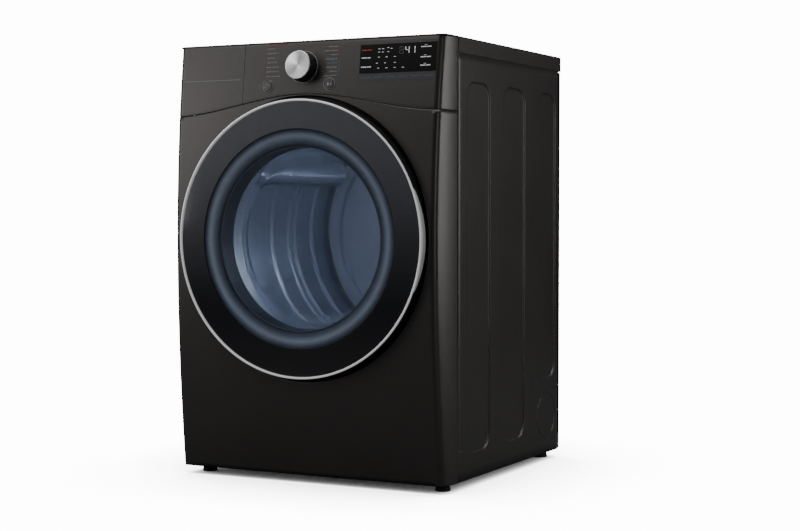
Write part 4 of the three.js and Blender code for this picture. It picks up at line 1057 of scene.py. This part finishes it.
DIM = finish("unlit_segment", (0.10, 0.10, 0.105), 0.0, 0.35, scale=800.0, tone=0.08)
PANE = let_light_in(finish("tinted_glass", (0.46, 0.50, 0.56), 0.0, 0.01, scale=30.0, tone=0.02,
                           spread=0.01, bump=0.0, Transmission_Weight=1.0, IOR=1.5), (0.66, 0.70, 0.76))
BOWL = let_light_in(finish("bowl_glass", (0.80, 0.86, 0.94), 0.0, 0.03, scale=30.0, tone=0.02,
                           spread=0.01, bump=0.02, depth=0.0001, Transmission_Weight=1.0, IOR=1.5),
                    (0.86, 0.90, 0.96))
SHADE = painted_glow_ring()


# ---------------------------------------------------------------- smaller pieces
def build_feet(rubber, steel):
    """Four levelling feet: rounded pad, hexagon nut and threaded stem."""
    for name in ("foot_front_left", "foot_front_right", "foot_rear_left", "foot_rear_right"):
        low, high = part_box(name)
        x, y = (low[0] + high[0]) / 2, (low[1] + high[1]) / 2
        pad = smooth_open([(0.0, 0.0), (0.0165, 0.0), (0.0172, 0.0025), (0.0162, 0.0085), (0.0125, 0.0120),
                           (0.0060, 0.0130), (0.0, 0.0130)],
                          [0, 0.0012, 0.0015, 0.002, 0.002, 0.0006, 0])
        turns = int((high[2] - 0.012) / 0.00125)
        z = np.linspace(0.012, high[2] - 0.0006, turns * 6 + 1)
        stem = np.stack([0.0050 - 0.00035 * np.cos((z - 0.012) / 0.00125 * 2 * math.pi), z], axis=-1)
        stem = np.concatenate([[(0.0, 0.0105)], [(stem[0, 0], 0.0105)], stem, [(0.0, stem[-1, 1])]])
        stand = lambda g: np.stack([g[..., 0] + x, g[..., 2] + y, g[..., 1]], axis=-1)
        mesh_piece(f"{name}_pad", [stand(lathe(pad, (0, 0), 64))], rubber, name, [name], outward=True,
                   around=True)
        nut = [(0.0052, 0.0128), (0.0092, 0.0128), (0.0092, 0.0178), (0.0052, 0.0178), (0.0052, 0.0128)]
        mesh_piece(f"{name}_stem", [stand(lathe(stem, (0, 0), 28)), stand(lathe(nut, (0, 0), 6))], steel,
                   name, outward=True, around=[True, True])


def rounded_pad(x0, x1, z0, z1, y, rise, shoulder, radius=0.03):
    """Grid over a pressed pad that swells from y towards +Y: nested rounded outlines
    step in over the shoulder and close at the middle line."""
    cx, cz = (x0 + x1) / 2, (z0 + z1) / 2
    hx, hz = (x1 - x0) / 2, (z1 - z0) / 2
    rows = []
    for t in (0.0, 0.0, 0.2, 0.4, 0.6, 0.8, 1.0, 1.6, 3.0):
        cut = shoulder * t
        loop = rounded_loop([(-hx + cut, -hz + cut), (hx - cut, -hz + cut), (hx - cut, hz - cut),
                             (-hx + cut, hz - cut)], max(radius - cut * 0.5, 0.008), 9)
        s = min(t, 1.0)
        height = rise * s * s * (3 - 2 * s)
        rows.append(np.stack([cx + loop[:, 0], np.full(len(loop), y + height), cz + loop[:, 1]], axis=-1))
    rows[0] = rows[0] - np.array([0.0, 0.0006, 0.0])
    middle_line = rows[-1].copy()
    slim = min(hx, hz) - shoulder * 3.0
    axis = 0 if hx < hz else 2
    centre = cx if axis == 0 else cz
    middle_line[:, axis] = centre + (middle_line[:, axis] - centre) * 1e-4
    other = 2 - axis
    reach = (hz if axis == 0 else hx) - shoulder * 3.0 - slim
    base = cz if axis == 0 else cx
    middle_line[:, other] = np.clip(middle_line[:, other], base - reach, base + reach)
    return np.stack(rows + [middle_line])


def build_rear(paint_steel, steel):
    """Pressed pads on the rear panel, its screws and the duct with rolled beads."""
    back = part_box("rear_panel")[1][1]
    pads = [(-0.315, -0.085, 0.470, 0.900), (0.085, 0.200, 0.470, 0.900), (0.225, 0.315, 0.470, 0.780),
            (-0.315, -0.085, 0.060, 0.270), (0.085, 0.315, 0.060, 0.420), (-0.060, 0.060, 0.180, 0.900)]
    mesh_piece("rear_pressings", [rounded_pad(*pad, back - 0.0002, 0.0042, 0.006) for pad in pads],
               paint_steel, "cabinet", around=[True] * len(pads), wall=0.0008, crease=60)
    head = smooth_open([(0.0, 0.0), (0.0068, 0.0), (0.0068, 0.0010), (0.0045, 0.0012), (0.0045, 0.0042),
                        (0.0, 0.0044)], [0, 0.0003, 0.0003, 0.0004, 0.0006, 0], 4)
    places = [(x, z) for z in (0.040, 0.290, 0.452, 0.930) for x in (-0.330, 0.330)]
    places += [(-0.200, 0.935), (0.0, 0.935), (0.140, 0.935), (-0.200, 0.035), (0.200, 0.035)]
    screws = [lathe(head, (0, 0), 18) + np.array([x, back, z]) for x, z in places]
    mesh_piece("rear_screws", screws, steel, "cabinet", outward=True, around=[True] * len(screws))
    (_, y0, z0), (_, y1, z1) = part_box("exhaust_duct")
    radius, centre = (z1 - z0) / 2, (z0 + z1) / 2
    y = np.concatenate([np.linspace(y0, y1 - 0.040, 30), np.linspace(y1 - 0.039, y1, 60)])
    bead = 0.0024 * np.exp(-((y - y1 + 0.020) / 0.0028) ** 2) - 0.0014
    outer = np.stack([radius - 0.0010 + bead, y], axis=-1)
    inner = np.stack([radius - 0.0020 + bead, y], axis=-1)[::-1]
    tube = np.concatenate([outer, inner, outer[:1]])
    mesh_piece("exhaust_pipe", [lathe(tube, (0, centre), 96)], steel, "cabinet", ["exhaust_duct"],
               outward=True, around=True, crease=50)
    flange = closed_profile([(radius - 0.001, back), (radius + 0.013, back), (radius + 0.013, back + 0.0014),
                             (radius + 0.0014, back + 0.0016), (radius + 0.0002, back + 0.005),
                             (radius - 0.001, back + 0.005)], 0.0005, 3)
    mesh_piece("exhaust_flange", [lathe(flange, (0, centre), 96)], steel, "cabinet", outward=True,
               around=True)


def soften(node, width=0.0005):
    """Rounds a frame node's edges without touching its mesh."""
    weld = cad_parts[node].modifiers.new("weld", "WELD")
    weld.merge_threshold = 0.00002
    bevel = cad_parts[node].modifiers.new("soft_edge", "BEVEL")
    bevel.width = width
    bevel.segments = 2
    bevel.limit_method = "ANGLE"
    bevel.angle_limit = math.radians(50)


def give(node, material):
    """Puts one material on a frame node."""
    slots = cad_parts[node].data.materials
    slots.clear()
    slots.append(material)


KEPT = {
    "base_pan": ZINC, "rear_panel": PAINT, "front_cross_rail": ZINC, "control_board": BOARD,
    "drum_seal_front": FELT, "drum_seal_rear": FELT, "lint_duct": GREY, "blower_housing": DARK_GREY,
    "heater_housing": ZINC, "heater_element": COIL, "rear_air_duct": ZINC, "motor_housing": ZINC,
    "drive_belt": RUBBER, "idler_bracket": ZINC, "hinge_bracket": ZINC, "latch_catch": BLACK,
    "drawer_housing": GREY, "steam_generator": PALE, "terminal_cover": PAINT, "door_hinge_arm": ZINC,
    "door_strike": ZINC, "drum_roller_front_left": RUBBER, "drum_roller_front_right": RUBBER,
    "drum_roller_rear_left": RUBBER, "drum_roller_rear_right": RUBBER, "motor_shaft": COIL,
    "blower_wheel": DARK_GREY, "idler_arm": ZINC, "idler_wheel": BLACK, "lint_filter": MESH,
    "drawer_tray": PALE,
}
SOFTENED = ("front_cross_rail", "hinge_bracket", "terminal_cover", "door_hinge_arm", "door_strike",
            "idler_bracket", "idler_arm", "latch_catch", "steam_generator", "drawer_tray",
            "drawer_housing", "blower_wheel")

build_front_cover(PAINT)
build_upper_front(PAINT)
build_side("side_skin_left", "side_panel_left", -1, PAINT)
build_side("side_skin_right", "side_panel_right", 1, PAINT)
build_top(PAINT)
build_door(CHROME, SILVER, PANE, GLOSS, BOWL, BLACK, GREY, SHADE)
build_tunnel(ZINC, RUBBER)
build_drum(DRUM_STEEL, DRUM_STEEL, BEAD_POLISH_AND_HIGHLIGHT)
build_rear_wall(REAR_STEEL)
build_knob(SPUN, BLACK, RING_LIGHT)
build_buttons(EDGE_PAINT, RING_LIGHT)
build_marks(PRINT, CRIMSON, BLUE, PRINT_LINE)
build_display(DISPLAY, DARK_GREY, LIT, LIT_RED, DIM)
build_feet(RUBBER, ZINC)
build_rear(PAINT, ZINC)
for node, material in KEPT.items():
    give(node, material)
for node in SOFTENED:
    soften(node)


# -------------------------------------------------------------- stage and lights
WHITE = 14.0


def build_floor():
    """Pale floor, white to the camera, with a painted contact shadow where ambient occlusion dims its glow
    near the machine; in reflections it shows darker, as a studio floor away from the lights.
    """
    mesh = bpy.data.meshes.new("floor")
    mesh.from_pydata([(-9, -9, 0), (9, -9, 0), (9, 9, 0), (-9, 9, 0)], [], [(0, 1, 2, 3)])
    material = bpy.data.materials.new("pale_floor")
    material.use_nodes = True
    tree = material.node_tree
    shader = tree.nodes["Principled BSDF"]
    shader.inputs["Roughness"].default_value = 0.9
    shader.inputs["Base Color"].default_value = (0.15, 0.15, 0.15, 1)
    path = tree.nodes.new("ShaderNodeLightPath")
    # Ambient occlusion dims the floor's glow near the machine: a painted contact shadow.
    near = tree.nodes.new("ShaderNodeAmbientOcclusion")
    near.inputs["Distance"].default_value = 0.35
    glow = tree.nodes.new("ShaderNodeMath")
    glow.operation = "POWER"
    tree.links.new(near.outputs["AO"], glow.inputs[0])
    glow.inputs[1].default_value = 1.6
    lift = tree.nodes.new("ShaderNodeMath")
    lift.operation = "MULTIPLY"
    tree.links.new(glow.outputs[0], lift.inputs[0])
    lift.inputs[1].default_value = WHITE
    seen = tree.nodes.new("ShaderNodeMath")
    seen.operation = "MULTIPLY"
    tree.links.new(lift.outputs[0], seen.inputs[0])
    tree.links.new(path.outputs["Is Camera Ray"], seen.inputs[1])
    shader.inputs["Emission Color"].default_value = (1.0, 1.0, 1.0, 1.0)
    tree.links.new(seen.outputs[0], shader.inputs["Emission Strength"])
    mesh.materials.append(material)
    floor = bpy.data.objects.new("floor", mesh)
    bpy.context.scene.collection.objects.link(floor)


def build_world():
    """Room tone: bright to the front left above the horizon, dim behind, white to the
    camera."""
    world = bpy.data.worlds.new("studio")
    bpy.context.scene.world = world
    world.use_nodes = True
    tree = world.node_tree
    background = tree.nodes["Background"]
    direction = tree.nodes.new("ShaderNodeTexCoord").outputs["Generated"]
    parts = tree.nodes.new("ShaderNodeSeparateXYZ")
    tree.links.new(direction, parts.inputs[0])
    rise = tree.nodes.new("ShaderNodeMapRange")
    rise.interpolation_type = "SMOOTHSTEP"
    set_inputs(rise, From_Min=-0.12, From_Max=0.16, To_Min=0.04, To_Max=1.0)
    tree.links.new(parts.outputs[2], rise.inputs["Value"])
    facing = calc(tree, "ADD", calc(tree, "MULTIPLY", parts.outputs[0], -0.82),
                  calc(tree, "MULTIPLY", parts.outputs[1], -0.57))
    side = tree.nodes.new("ShaderNodeMapRange")
    side.interpolation_type = "SMOOTHSTEP"
    set_inputs(side, From_Min=0.90, From_Max=1.0, To_Min=0.07, To_Max=1.3)
    tree.links.new(facing, side.inputs["Value"])
    level = calc(tree, "MULTIPLY", rise.outputs[0], side.outputs[0])
    path = tree.nodes.new("ShaderNodeLightPath")
    seen = tree.nodes.new("ShaderNodeMix")
    tree.links.new(path.outputs["Is Camera Ray"], seen.inputs["Factor"])
    tree.links.new(level, seen.inputs["A"])
    seen.inputs["B"].default_value = WHITE
    tree.links.new(seen.outputs["Result"], background.inputs["Strength"])
    background.inputs["Color"].default_value = (1.0, 1.0, 1.0, 1.0)


def softbox(name, place, aim, size, watts, colour=(1.0, 1.0, 1.0)):
    """Rectangular lamp at a place, facing a point."""
    lamp = bpy.data.lights.new(name, "AREA")
    lamp.shape = "RECTANGLE"
    lamp.size, lamp.size_y = size
    lamp.energy = watts
    lamp.color = colour
    holder = bpy.data.objects.new(name, lamp)
    holder.location = place
    away = Vector(place) - Vector(aim)
    holder.rotation_euler = away.to_track_quat("Z", "Y").to_euler()
    holder.visible_camera = False
    bpy.context.scene.collection.objects.link(holder)
    return holder


def build_lights():
    """High soft key, a near box at the left that fades across the front, a wide box
    overhead, a tall strip behind the right side for the corner's sheen, a weak fill, and
    the small lamp inside the drum."""
    softbox("key", (-1.8, -2.6, 3.4), (0, 0, 0.5), (2.4, 2.4), 34)
    softbox("left_box", (-1.9, -2.1, 1.15), (-0.3, -0.4, 0.7), (0.7, 1.2), 8)
    softbox("overhead", (0.3, 0.2, 4.0), (0, 0, 0), (3.5, 3.5), 85)
    softbox("edge_strip", (2.6, 1.7, 1.25), (0.34, -0.3, 0.55), (0.45, 2.0), 19)
    softbox("right_fill", (3.4, -2.0, 1.0), (0.3, -0.38, 0.55), (0.8, 1.6), 9)
    lamp = bpy.data.lights.new("drum_lamp", "POINT")
    lamp.energy = 1.6
    lamp.color = (0.96, 0.96, 1.0)
    lamp.shadow_soft_size = 0.05
    holder = bpy.data.objects.new("drum_lamp", lamp)
    holder.location = (0.09, 0.08, DRUM_Z + 0.11)
    holder.visible_camera = False
    holder.visible_transmission = False
    bpy.context.scene.collection.objects.link(holder)


def build_camera():
    """Camera a little above the middle of the machine, 27 degrees round to its right."""
    camera = bpy.data.cameras.new("camera")
    camera.lens = 74.23
    holder = bpy.data.objects.new("camera", camera)
    holder.location = (1.8713, -3.5031, 0.6232)
    holder.rotation_euler = (math.radians(90 - 2.063), 0.0, math.radians(27.334))
    bpy.context.scene.collection.objects.link(holder)
    bpy.context.scene.camera = holder


build_floor()
build_world()
build_lights()
build_camera()
